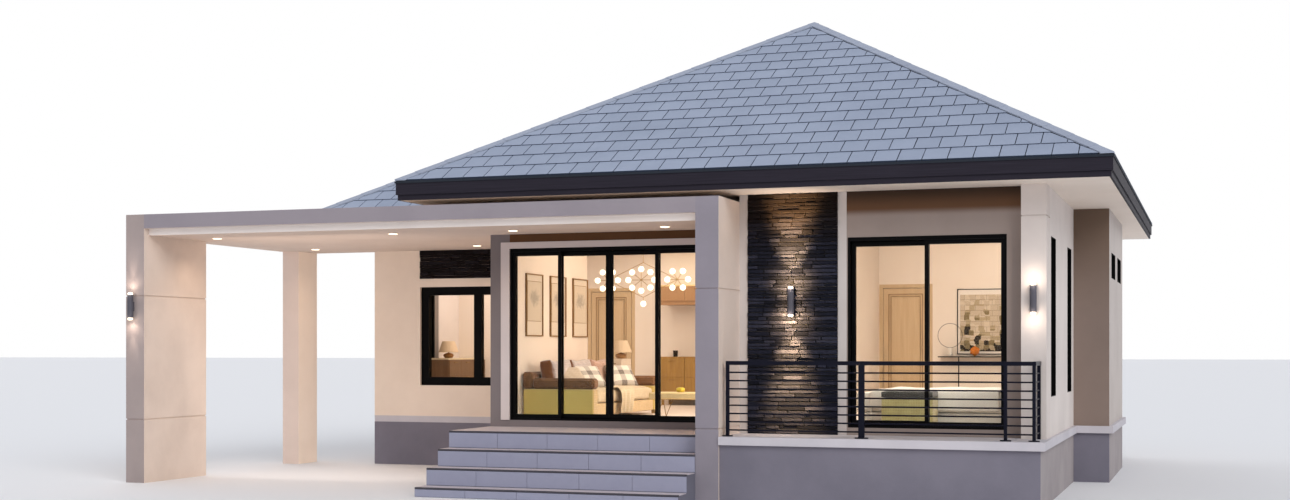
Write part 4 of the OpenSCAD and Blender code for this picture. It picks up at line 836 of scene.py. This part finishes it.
coat(washed, node("Mix", [blot, "#D3C1AB", "#5E5A58"]))
blocks, node, place = finish("grey block print", Roughness=0.8)
turned = node("Mapping", {"Vector": place, "Rotation": (radians(90), 0, 0)})
cells = node("TexVoronoi", {"Vector": turned, "Scale": 13.0, "Randomness": 0.55},
    distance="CHEBYCHEV").outputs["Color"]
height = node("SeparateXYZ", [place]).outputs["Z"]
sunk = node("MapRange", [height, 1.75, 2.45, -0.34, 0.26])
step = node("ValToRGB", [node("ADD", [cells, sunk])])
step.color_ramp.interpolation = "CONSTANT"
set_stops(step, (0.0, "#2B251D"), (0.14, "#857553"), (0.30, "#B3A284"), (0.46, "#D3C5B0"),
    (0.62, "#C6B6A0"))
lines = node("TexBrick", {"Vector": turned, "Scale": 2.9, "Mortar Size": 0.010,
    "Color1": "#FFFFFF", "Color2": "#FFFFFF", "Mortar": "#3A3226"})
coat(blocks, node("Mix", [0.4, step, lines], blend_type="MULTIPLY"))
for name, shape, material, *replaced in (
        ("picture_frames", bars, coated_metal("bronze leaf", "#8E6A3C", 0.4, 200.0),
            "wall_pictures"),
        ("picture_mounts", mounts, painted_render("mount board", "#DECDB9", "#D5C3AE",
            grain=0.3, rough=0.8)),
        ("picture_prints", prints, washed),
        ("print_frame", dark_bars, coated_metal("black frame lacquer", "#17130F", 0.4, 200.0)),
        ("print_mount", white_mounts, painted_render("white mount board", "#EEE6DD", "#E3DAD0",
            grain=0.3, rough=0.8)),
        ("print_sheet", sheets, blocks)):
    solid(name, shape, material, "picture_frame", *replaced)


# Case furniture: lamp table, sideboards and wall cupboard of veneered board with shadow gaps
# between their fronts, a pale drum table and a black wall table on one thin steel leg.
def cabinet(shape, tops, handles, low, high, columns, rows, face):
    """A carcass with fronts on the side that face names, a top board and bar handles."""
    top_t, toe, gap = 0.025, 0.06, 0.003
    low, high = Vector(low), Vector(high)
    box_into(shape, low, (high.x, high.y, high.z - top_t), 0.002)
    box_into(tops, (low.x, low.y, high.z - top_t), high, 0.003)
    flat = "XY".index(face[1])
    wide, way = 1 - flat, 1 if face[0] == "+" else -1
    at = high[flat] if way > 0 else low[flat]
    width = (high[wide] - low[wide]) / columns
    height = (high.z - top_t - low.z - toe) / rows
    for c in range(columns):
        for r in range(rows):
            a, b = [0, 0, 0], [0, 0, 0]
            a[wide], b[wide] = low[wide] + c * width + gap, low[wide] + (c + 1) * width - gap
            a[2], b[2] = (low.z + toe + r * height + gap, low.z + toe + (r + 1) * height - gap)
            a[flat], b[flat] = sorted((at - way * 0.002, at + way * 0.016))
            box_into(shape, a, b, 0.0015)
            middle = (a[wide] + b[wide]) / 2
            a[wide], b[wide] = middle - 0.06, middle + 0.06
            a[2], b[2] = b[2] - 0.045, b[2] - 0.035
            a[flat], b[flat] = sorted((at + way * 0.012, at + way * 0.028))
            box_into(handles, a, b, 0.002)


room_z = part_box("room_floor")[1].z
olive, brown, pale, handles, dark_tops, shelf, pale_tops, cream = (bmesh.new() for _ in range(8))
for shape, tops, low, high, columns, rows, face in (
        (olive, olive, (-1.565, 3.045, room_z + 0.09), (-0.265, 3.495, 1.595), 3, 2, "-Y"),
        (brown, pale, (-4.593, 0.445, room_z), (-4.143, 1.745, 1.577), 3, 3, "+X"),
        (cream, cream, (-1.329, -0.195, room_z), (-1.045, 0.205, 1.577), 1, 3, "-Y"),
        (shelf, pale_tops, (-1.565, 3.055, 2.450), (-0.265, 3.505, 2.780), 3, 1, "-Y")):
    cabinet(shape, tops, handles, low, high, columns, rows, face)
for x in (-1.545, -0.325):
    for y in (3.065, 3.435):
        box_into(olive, (x, y, room_z), (x + 0.04, y + 0.04, room_z + 0.10), 0.002)
box_into(pale_tops, (0.081, -2.235, 1.060), (0.931, -1.685, 1.145), 0.012)
box_into(dark_tops, (2.987, 3.195, 1.590), (4.087, 3.495, 1.607), 0.003)
box_into(dark_tops, (3.286, 3.33, room_z), (3.302, 3.346, 1.592), 0.001)
black_lacquer = coated_metal("black frame steel", "#15120F", 0.4, 300.0)
for name, shape, material, *replaced in (
        ("olive_cabinets", olive, veneer("olive brown veneer", "#BC924B", "#8A6734"),
            "room_furniture"),
        ("brown_cabinet", brown, veneer("smoked oak veneer", "#8A6C50", "#664C35")),
        ("cabinet_tops", pale, veneer("pale worktop", "#E9DABB", "#DBC8A2")),
        ("light_cabinets", shelf, veneer("light oak veneer", "#B98F68", "#9C7650")),
        ("light_tops", pale_tops, veneer("bleached oak", "#F3DBA6", "#E0C48C")),
        ("cream_cabinet", cream, painted_render("cream lacquer", "#E8D6C2", "#DCC8B2",
            grain=0.3, rough=0.5)),
        ("wall_table", dark_tops, black_lacquer),
        ("cabinet_handles", handles, coated_metal("dull brass", "#8C6E40", 0.35, 300.0))):
    solid(name, shape, material, "door_wood", *replaced)


# Sofa: a boxy three-seater. The frame is timber under khaki cloth below and brown chenille
# above; two seat cushions and three back cushions are loose, sewn pads with a welt at the seam.
def pad(name, size, edge, pinch, full, crease, seed, across=16):
    """A sewn pad lying flat about the origin: two crowned faces over a boxed side, whose height
    is edge times the pad's. pinch draws the sides in between the corners."""
    shape = bmesh.new()
    half = [side / 2 for side in size]
    turns = [sin((2 * i / across - 1) * pi / 2) for i in range(across + 1)]
    place_of, sheets = {}, []
    for side in (1, -1):
        rows = []
        for v in turns:
            row = []
            for u in turns:
                swell = ((1 - u ** 4) * (1 - v ** 4)) ** full
                x = half[0] * u * (1 - pinch * (1 - v * v))
                y = half[1] * v * (1 - pinch * (1 - u * u))
                fold = noise.noise(Vector((x * 6, y * 6, seed + side))) * crease
                fold += noise.noise(Vector((x * 17, y * 17, seed - side))) * crease * 0.4
                z = side * half[2] * (edge + (1 - edge) * swell) + fold * swell
                row.append(shape.verts.new((x, y, z)))
                place_of[row[-1]] = (u, v)
            rows.append(row)
        sheets.append(rows)
    layer = shape.loops.layers.uv.new("UVMap")
    for rows, turned in zip(sheets, (False, True)):
        for j in range(across):
            for i in range(across):
                ring = [rows[j][i], rows[j][i + 1], rows[j + 1][i + 1], rows[j + 1][i]]
                shape.faces.new(reversed(ring) if turned else ring)
    top, bottom = sheets
    border = [(0, i) for i in range(across)] + [(j, across) for j in range(across)]
    border += [(across, across - i) for i in range(across)]
    border += [(across - j, 0) for j in range(across)]
    for (j, i), (jj, ii) in zip(border, border[1:] + border[:1]):
        shape.faces.new((bottom[j][i], bottom[jj][ii], top[jj][ii], top[j][i]))
    for face in shape.faces:
        for loop in face.loops:
            u, v = place_of[loop.vert]
            loop[layer].uv = (u / 2 + 0.5, v / 2 + 0.5)
        face.smooth = True
    bmesh.ops.remove_doubles(shape, verts=shape.verts, dist=0.0004)
    bmesh.ops.recalc_face_normals(shape, faces=shape.faces)
    return into_mesh(shape, name)


def woven(name, light, dark, thread=1.2, sheen=0.3, side=None, nap_scale=7.0):
    """Woven upholstery cloth: warp and weft of that many millimetres, drawn four times as coarse,
    a soft nap, and a slight change of colour where the pile is pressed, in patches of 1 m over
    nap_scale. side is the colour of the end that faces -Y, where another cloth is sewn in."""
    material, node, place = finish(name, Roughness=0.92, Sheen_Weight=sheen, Specular_IOR_Level=0.2)
    threads = {"Vector": place, "Scale": 1000 / (4 * thread) / 20}
    warp, weft = (node("TexWave", threads, bands_direction=way).outputs["Fac"] for way in "XZ")
    cross = node("MAXIMUM", [warp, weft])
    nap = node("TexNoise", [place, nap_scale, 6.0, 0.7])
    tone = node("MULTIPLY_ADD", [cross, 0.25, nap])
    mix = node("Mix", [node("MapRange", [tone, 0.35, 0.95]), dark, light])
    if side:
        facing = node("SeparateXYZ", [node("NewGeometry").outputs["Normal"]]).outputs["Y"]
        mix = node("Mix", [node("MapRange", [facing, -0.6, -0.8]), mix, side])
    return coat(material, mix, cross, 0.0008, 0.5)


def swollen(mesh, cell, cap):
    """The pad after 20 frames of a cloth simulation that blows it up, with no point moved by more
    than cap. The cloth is first cut into even cells, and each cell into four at the end."""
    even = applied(mesh, "REMESH", mode="VOXEL", voxel_size=cell)
    blown = applied(even, "CLOTH", frames=20, use_pressure=True, uniform_pressure_force=4.0,
        quality=6, mass=0.3, tension_stiffness=12.0, compression_stiffness=12.0,
        bending_stiffness=0.4)
    for before, after in zip(even.vertices, blown.vertices):
        way = after.co - before.co
        after.co = before.co + way * min(1.0, cap / max(way.length, 1e-9))
    scene.frame_set(1)
    rounded = applied(blown, "SUBSURF", levels=1, render_levels=1)
    rounded.polygons.foreach_set("use_smooth", [True] * len(rounded.polygons))
    return rounded


def soft(name, size, sewing, at, turn, material, slot, cell=0.0, cap=0.022):
    """One with a cell is swollen first, from a slightly smaller shape."""
    mesh = pad(name, size, *sewing)
    if cell:
        mesh.transform(Matrix.Scale(0.98, 4))
        mesh = swollen(mesh, cell, cap)
        mesh.name = name
    moved = Matrix.Translation(at)
    for angle, axis in zip(reversed(turn), "ZYX"):
        moved @= Matrix.Rotation(radians(angle), 4, axis)
    mesh.transform(moved)
    solid(name, mesh, material, slot)


(left, near, _), (right, far, _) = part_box("sofa")
chenille = woven("brown chenille", "#976C49", "#523A2A", sheen=0.2, nap_scale=26.0)
rose = woven("rose brown velvet", "#D4C6C1", "#AF9F9A", sheen=0.4, side="#85532F")
copper = woven("copper velvet", "#CFAA99", "#A5806E", sheen=0.4)
khaki = woven("khaki cloth", "#DCBD8E", "#C6A677", side="#DDC270")
beige = woven("beige seat cloth", "#DCC7A6", "#C6AD88")
upper, lower, feet = bmesh.new(), bmesh.new(), bmesh.new()
waist, arm_top, rail_t, back_t = room_z + 0.40, room_z + 0.54, 0.18, 0.14
under = room_z + 0.05
for y in (near + 0.01, far - 0.17):
    box_into(lower, (left + 0.01, y, under), (right - 0.01, y + 0.16, waist), 0.015)
box_into(lower, (left + 0.01, near + 0.175, under),
    (right - 0.03, far - 0.175, room_z + 0.205), 0.015)
for x in (left + 0.03, right - 0.09):
    for y in (near + 0.03, far - 0.09):
        box_into(feet, (x, y, room_z), (x + 0.06, y + 0.06, under), 0.004)
for y in (near, far - rail_t):
    box_into(upper, (left + back_t + 0.004, y, waist), (right, y + rail_t, arm_top), 0.03)
box_into(upper, (left, near, waist), (left + back_t, far, room_z + 0.62), 0.03)
solid("sofa_lower", lower, khaki, "sofa_cloth", "sofa")
solid("sofa_frame", upper, chenille, "sofa_cloth")
solid("sofa_feet", feet, veneer("sofa foot veneer", "#C9A877", "#A78554"), "sofa_cloth")
inner_w = far - near - 2 * rail_t - 0.01
seat_w, back_w, start = inner_w / 2, inner_w / 3, near + 0.185
for k in range(2):
    soft(f"seat_cushion_{k}", (0.85, seat_w - 0.006, 0.18), (0.72, 0.004, 0.5, 0.008, 3 + k),
        (right - 0.425, start + seat_w * (k + 0.5), room_z + 0.297), (0, 0, 0), beige,
        "sofa_cloth", 0.022, 0.026)
for k in range(3):
    soft(f"back_cushion_{k}", (0.38, back_w - 0.012, 0.19), (0.8, 0.02, 0.5, 0.012, 7 + k),
        (left + 0.262, start + back_w * (k + 0.5), room_z + 0.588), (0, -98, 0),
        copper if k == 2 else rose, "sofa_cloth", 0.018, 0.024)
linen = woven("unbleached linen", "#D2C0AC", "#BDA890")
plaid, node, place = finish("plaid wool", Roughness=0.95, Sheen_Weight=0.3)
uv = node("SeparateXYZ", [node("UVMap", uv_map="UVMap")]).outputs
stripes = []
for axis in "XY":
    band = node("MULTIPLY_ADD", [uv[axis], 2.0, 0.32])
    band = node("FRACT", [band])
    stripes.append(node("LESS_THAN", [band, 0.42]))
both = node("MULTIPLY", [node("ADD", stripes), 0.42])
coat(plaid, node("Mix", [both, "#F0E4D6", "#5A4C44"]))
for name, at, turn, cloth, seed in (
        ("throw_pillow_plaid", (-0.83, -0.80, room_z + 0.535), (0, 48, -40), plaid, 21),
        ("throw_pillow_linen", (-1.02, -2.20, room_z + 0.525), (0, 44, -30), linen, 22),
        ("throw_pillow_checked", (-0.93, -1.78, room_z + 0.535), (0, 46, -34), plaid, 23)):
    soft(name, (0.40, 0.42, 0.15), (0.0, 0.08, 0.42, 0.010, seed, 20), at, turn, cloth,
        "sofa_cloth")


# The throw lies over the front of the seat and hangs to the floor in loose folds.
def thicken(piece, thickness, offset):
    """Gives a sheet its thickness and rounds it."""
    thick = piece.modifiers.new("thickness", "SOLIDIFY")
    thick.thickness, thick.offset = thickness, offset
    smooth = piece.modifiers.new("smooth", "SUBSURF")
    smooth.levels = smooth.render_levels = 1


throw_w, throw_t, throw_y = 0.52, 0.006, -1.73
seat_top, edge_x = room_z + 0.392, right
path = [(edge_x - 0.52 + 0.04 * k, seat_top + 0.012 + 0.010 * sin(k)) for k in range(14)]
path += [(edge_x + 0.022, seat_top - 0.012), (edge_x + 0.034, seat_top - 0.05)]
path += [(edge_x + 0.036 + 0.004 * sin(k * 0.7), seat_top - 0.05 - 0.04 * k) for k in range(1, 8)]
shape, rows = bmesh.new(), []
for k, (x, z) in enumerate(path):
    row = []
    for i in range(17):
        v = i / 16
        fold = sin(v * 19 + k * 0.15) * min(1.0, k / 6) * 0.010
        hang = k > 14
        y = throw_y + throw_w * (v - 0.5) * (1 - 0.012 * max(0, k - 12))
        row.append(shape.verts.new((x + (fold + 0.010 if hang else 0.0),
            y + 0.01 * sin(k * 0.5), z + (0.0 if hang else abs(fold)))))
    rows.append(row)
skin(shape, rows, smooth=True)
length = sum((Vector(b) - Vector(a)).length for a, b in zip(path, path[1:]))
throw = solid("throw", shape, woven("cream throw cloth", "#DCC9A9", "#C4AE8C"), "sofa_cloth")
thicken(throw, throw_t, 1.0)


# Bed: a base covered in white cotton and a mattress under a white quilt whose sides hang loose,
# two pillows at the padded headboard, and a low bench along its foot side.
bed_low, bed_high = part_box("bed")
bed_mid, base_top, bed_top = (bed_low.y + bed_high.y) / 2, room_z + 0.16, 1.200
white_cotton = woven("white cotton", "#E0DBD3", "#CFC8BF", 0.6)
grey_cloth = woven("grey pillow cloth", "#A39C99", "#87807E", 0.8)
shape = bmesh.new()
box_into(shape, (bed_low.x + 0.06, bed_low.y + 0.06, room_z),
    (bed_high.x - 0.06, bed_high.y - 0.06, base_top), 0.01)
solid("bed_base", shape, white_cotton, "bed_linen", "bed")
soft("mattress", (2.02, 1.38, bed_top - base_top), (0.86, 0.003, 0.4, 0.003, 31, 24),
    (bed_low.x + 1.03, bed_mid, (base_top + bed_top) / 2), (0, 0, 0), white_cotton,
    "bed_linen")
quilt_w, quilt_l, drop = 1.40, 1.46, 0.24
shape, rows = bmesh.new(), []
for j in range(49):
    row = []
    for i in range(45):
        u, v = (i / 44 - 0.5) * (quilt_l + drop), (j / 48 - 0.5) * (quilt_w + 2 * drop)
        over_u = max(0.0, -u - quilt_l / 2 + drop / 2)
        over_v = max(0.0, abs(v) - quilt_w / 2)
        x = bed_low.x + 0.86 + max(u, -quilt_l / 2 + drop / 2) - 0.04 * (over_u > 0)
        y = bed_mid + copysign(min(abs(v), quilt_w / 2), v)
        z = 1.222 - over_u - over_v * (1 - 0.3 * (over_u > 0))
        swell = noise.noise(Vector((u * 2.6, v * 2.6, 4.0))) * 0.020
        swell += noise.noise(Vector((u * 8, v * 8, 9.0))) * 0.006
        if over_v > 0:
            y += copysign(0.014 + abs(swell), v)
        if over_u > 0:
            x -= 0.014 + abs(swell)
        row.append(shape.verts.new((x, y, z + (swell if not (over_u or over_v) else 0.0))))
    rows.append(row)
skin(shape, rows, smooth=True)
quilt = solid("quilt", shape, white_cotton, "bed_linen")
thicken(quilt, 0.022, 0.0)
for name, y, cloth, seed in (("bed_pillow_near", -2.72, grey_cloth, 41),
        ("bed_pillow_far", -2.02, white_cotton, 42)):
    soft(name, (0.46, 0.64, 0.17), (0.0, 0.07, 0.42, 0.010, seed, 20),
        (bed_high.x - 0.26, y, 1.36), (0, -38, 0), cloth, "bed_linen", 0.016)
soft("headboard", (0.88, bed_high.y - bed_low.y, 0.055), (0.6, 0.0, 0.4, 0.002, 44, 20),
    (bed_high.x - 0.03, bed_mid, room_z + 0.45), (0, 90, 0), grey_cloth, "bed_linen")
shape = bmesh.new()
box_into(shape, (3.415, -3.505, room_z), (4.015, -3.105, 1.137), 0.012)
solid("bench_box", shape, woven("olive cloth", "#C6B780", "#A39360"), "bed_linen")
soft("bench_pad", (0.60, 0.40, 0.095), (0.6, 0.003, 0.5, 0.004, 45), (3.715, -3.305, 1.183),
    (0, 0, 0), woven("charcoal cloth", "#54504C", "#383532"), "bed_linen")


# Table lamps: pleated linen shades on turned wooden balls, lit from inside. On the bedroom's wall
# table stands a thin steel hoop in a white stoneware foot.
def turned_shape(shape, centre, outline, around=40, pleat=0.0):
    """Turns an outline of (radius, height) about a vertical line; pleat is the depth of folds."""
    rings = []
    for radius, height in outline:
        ring = []
        for k in range(around):
            angle = 2 * pi * k / around
            r = radius + (pleat if k % 2 else 0.0)
            ring.append(shape.verts.new((centre[0] + r * cos(angle),
                centre[1] + r * sin(angle), centre[2] + height)))
        rings.append(ring)
    skin(shape, rings, pleat == 0, closed=True)
    shape.faces.new(reversed(rings[0]))
    shape.faces.new(rings[-1])


pleats, balls, stoneware, cup, pot, star = (bmesh.new() for _ in range(6))
foot = [(0.012, 0.0), (0.055, 0.001), (0.062, 0.004), (0.062, 0.008)]
foot += [(0.085 * sin(a), 0.044 - 0.040 * cos(a)) for a in
    [radians(d) for d in (60, 90, 120, 150)]] + [(0.010, 0.086), (0.010, 0.110)]
for at in ((-1.129, 0.005, 1.577), (-4.368, 0.895, 1.577)):
    turned_shape(balls, at, foot, 32)
    turned_shape(pleats, at, [(0.152, 0.092), (0.155, 0.100), (0.096, 0.262), (0.092, 0.268)],
        72, 0.003)
shade_linen = finish("lit pleated linen", Roughness=0.9, Base_Color="#DCC3A4",
    Emission_Color="#FFDDB4", Emission_Strength=0.03)[0]
solid("lamp_shades", pleats, shade_linen, "shade_cloth", "table_lamps")
solid("lamp_feet", balls, veneer("turned beech", "#B98A56", "#94693B"), "shade_cloth")
turned_shape(stoneware, (3.157, 3.345, 1.607), [(0.030, 0.0), (0.036, 0.004), (0.037, 0.06),
    (0.030, 0.085), (0.034, 0.125), (0.030, 0.135), (0.012, 0.137)], 32)
solid("hoop_foot", stoneware, painted_render("white stoneware", "#EFE8E0", "#E2DAD1", grain=0.3,
    rough=0.4), "shade_cloth")

# Ornaments: a black stoneware cup on the sideboard, a yellow glazed pot on the drum table and a
# folded orange paper star on the wall table.
turned_shape(cup, (-1.36, 3.25, 1.595), [(0.030, 0.0), (0.036, 0.004), (0.042, 0.10),
    (0.042, 0.104), (0.036, 0.104), (0.034, 0.02)], 32)
turned_shape(pot, (0.42, -1.92, 1.145), [(0.030, 0.0), (0.052, 0.008), (0.062, 0.030),
    (0.056, 0.052), (0.030, 0.064), (0.010, 0.066)], 32)
bmesh.ops.create_icosphere(star, subdivisions=1, radius=0.082,
    matrix=Matrix.Translation((3.545, 3.33, 1.688)))
for name, shape, colour, rough in (("ornament_cup", cup, "#1C1714", 0.5),
        ("ornament_pot", pot, "#C9B23A", 0.3), ("ornament_star", star, "#D2761C", 0.7)):
    solid(name, shape, painted_render(name.replace("_", " ") + " glaze", colour, colour,
        grain=0.3, rough=rough), "shade_cloth")

# Hoops, rods and rails are round bar bent to a line: a circle swept along a curve.
bar_tree, node, given = new_tree("round bar along a line", Line="Geometry", Radius="Float",
    Sides="Int", Material="Material")
line = node("GeometryNodeMeshToCurve", {"Mesh": given["Line"]})
ring = node("GeometryNodeCurvePrimitiveCircle", {"Resolution": given["Sides"],
    "Radius": given["Radius"]})
tube = node("GeometryNodeCurveToMesh", {"Curve": line, "Profile Curve": ring, "Fill Caps": True})
end_tree(node, tube, given["Material"])


def round_bars(name, lines, radius, material, slot):
    """Round bar along each line of points; a line whose ends meet is closed."""
    mesh = bpy.data.meshes.new(name)
    points, edges = [], []
    for line in lines:
        first, closed = len(points), (Vector(line[0]) - Vector(line[-1])).length < 1e-6
        line = line[:-1] if closed else line
        points += line
        edges += [(first + k, first + k + 1) for k in range(len(line) - 1)]
        if closed:
            edges.append((first + len(line) - 1, first))
    mesh.from_pydata(points, edges, [])
    made = applied(mesh, "NODES", {"Radius": radius, "Sides": 8, "Material": material},
        node_group=bar_tree)
    made.polygons.foreach_set("use_smooth", [len(p.vertices) == 4 for p in made.polygons])
    solid(name, made, material, slot)


hoop = [(3.157 + 0.19 * sin(a), 3.345, 1.934 - 0.19 * cos(a))
    for a in (radians(degrees) for degrees in range(0, 361, 6))]
round_bars("hoop", [hoop], 0.0035, black_lacquer, "shade_cloth")

# The drum table stands on hairpins of brass bar.
hairpins = []
for x, dx in ((0.16, 0.11), (0.85, -0.11)):
    for y, dy in ((-2.16, 0.11), (-1.76, -0.11)):
        hairpins.append([(x + dx, y, 1.065), (x, y - dy * 0.1, room_z + 0.012),
            (x + dx * 0.1, y + dy * 0.1, room_z + 0.006), (x, y + dy, 1.065)])
brass = coated_metal("brushed brass", "#A98652", 0.35, 300.0)
round_bars("table_hairpins", hairpins, 0.005, brass, "door_wood")

# Hanging lamp: three rings of opal glass balls on thin brass rods under one ceiling rod, with a
# single ball below the middle.
pendant_low, pendant_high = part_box("pendant_lamp")
lamp_mid = Vector(((pendant_low.x + pendant_high.x) / 2, (pendant_low.y + pendant_high.y) / 2,
    2.674))
top_point, low_point = lamp_mid + Vector((0, 0, 0.24)), lamp_mid - Vector((0, 0, 0.24))
globes, rods, spots = bmesh.new(), [], []
for shift, number, across, tall in ((-0.525, 6, 0.15, 0.13), (-0.03, 8, 0.19, 0.15),
        (0.50, 6, 0.15, 0.13)):
    hub = lamp_mid + Vector((shift, 0, 0))
    for k in range(number):
        angle = radians(360 * k / number)
        spots.append(hub + Vector((across * cos(angle), 0, tall * sin(angle))))
        rods.append((hub, hub + (spots[-1] - hub) * 0.76))
for at in (*spots, lamp_mid - Vector((0, 0, 0.33))):
    bmesh.ops.create_icosphere(globes, subdivisions=3, radius=0.040, matrix=Matrix.Translation(at))
for face in globes.faces:
    face.smooth = True
rods.append((lamp_mid - Vector((0, 0, 0.30)), low_point))
rods.append((top_point, (lamp_mid.x, lamp_mid.y, pendant_high.z)))
rods += [(point, lamp_mid + Vector((side, 0, 0))) for side in (-0.525, 0.50)
    for point in (top_point, low_point)]
pendant_glass = finish("lit opal globe", Roughness=0.2, Base_Color="#FFF6E8",
    Emission_Color="#FFF1DC", Emission_Strength=1.6)[0]
solid("pendant_globes", globes, pendant_glass, "lamp_glow", "pendant_lamp")
round_bars("pendant_rods", [[tuple(a), tuple(b)] for a, b in rods], 0.004, brass, "lamp_glow")

# Lamps that are not part of the house: soft panels near the ceilings of the rooms, and weak ones
# outside that lighten the carport, its rear column alone, and the house alone under its eaves.
column_only, house_only, stone_only, all_but_stone = (bpy.data.collections.new(name)
    for name in ("rear column only", "house only", "stone only", "all but the stone"))
column_only.objects.link(cad["carport_rear_column"])
for piece in scene.objects:
    if piece.type == "MESH":
        (stone_only if piece == ledge else all_but_stone).objects.link(piece)
        if piece != floor:
            house_only.objects.link(piece)
for name, at, aim, size, power, tint, *only in (
        ("living_light", (0.6, -1.0, 3.40), (-0.5, 0, -1), 2.0, 82.0, "#FFF3E6"),
        ("living_rear_light", (-1.2, 2.2, 3.42), (0, 0, -1), 1.6, 26.0, "#FFF0E0"),
        ("bedroom_light", (3.9, -1.2, 3.42), (0, 0.2, -1), 2.4, 140.0, "#FFF3E6"),
        ("bedroom_fill", (3.9, -3.5, 2.1), (0, 1, -0.6), 1.2, 12.0, "#FFF3E6"),
        ("bedroom_wall_light", (4.2, 1.2, 3.30), (0, 1, -0.5), 1.2, 30.0, "#FFF3E6"),
        ("kitchen_light", (-3.3, 0.9, 3.42), (0, 0, -1), 1.6, 36.0, "#FFEFE6"),
        ("living_fill", (1.7, -2.3, 2.0), (-1, 0, -0.25), 1.2, 34.0, "#FFF3E6"),
        ("carport_light", (-4.1, -4.1, 1.7), (0, 1, 0.1), 2.4, 17.0, "#FFF0E4"),
        ("column_light", (-3.0, -2.6, 1.8), (-1, 0.35, 0), 1.0, 20.0, "#FFF0E4", column_only),
        ("eave_light", (3.6, -9.0, 0.3), (0.05, 1, 0.55), 5.0, 45.0, "#FFF4EA", house_only)):
    panel = lamp(name, "AREA", power, tint, at, aim, *only, size=size)
    panel.visible_camera = panel.visible_glossy = panel.visible_transmission = False


# Each wall lamp throws a warm beam up and one down its wall, and glows at its ends. The dark stone
# takes more light than the white boards next to it could stand, so its wide beams light it alone,
# and the beam that lights the eaves over it passes it by.
# The downlights wash the carport and the landing.
def beam(name, at, aim, power, width, radius, tint, only=None):
    """A warm spot lamp that fades from its middle to its edge."""
    lamp(name, "SPOT", power, tint, at, aim, only, spot_size=radians(width), spot_blend=1.0,
        shadow_soft_size=radius)


for (name, x, wall_y), near, halo in zip(wall_lamps, (3.0, 32.0, 0.5), (0.8, 2.0, 1.8)):
    on_stone = name == "stone"
    tint = "#FFE8D2" if on_stone else "#FFEEDD"
    for side, way, z in (("up", 1, 2.445), ("down", -1, 2.084)):
        at = (x, wall_y - 0.075, z)
        beam(f"{name}_near_{side}", at, (0, 0.05, way), near, 84 if on_stone else 150, 0.02, tint,
            all_but_stone if on_stone else None)
        beam(f"{name}_halo_{side}", (x, wall_y - 0.18, z), (0, 1, 0.3 * way), halo, 140, 0.03, tint)
        if name == "fin":
            beam(f"fin_far_{side}", at, (0, 0.10, way), 9.0, 36, 0.02, tint)
        for part, off, start, reach, power, width in (("glow", 0.18, -0.01, 0.03, 64.0, 130),
                ("low", 0.075, 0.0, 1.0, 90.0, 60), ("mid", 0.25, 0.0, 0.50, 330.0, 54),
                ("high", 0.50, 0.10, 0.85, 580.0, 43)) if on_stone else ():
            beam(f"stone_{part}_{side}", (x, wall_y - off, z + way * start),
                (0, off, way * reach), power, width, 0.04, "#FFD292", stone_only)
for number, (x, y) in enumerate(((-5.345, -3.995), (-2.739, -3.995), (-1.079, -3.995),
        (0.903, -3.995), (-5.345, -1.505), (-2.739, -1.505))):
    beam(f"downlight_beam_{number}", (x, y, 3.15), (0, 0, -1), 16.0, 140, 0.05, "#FFE2C4")


low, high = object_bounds()
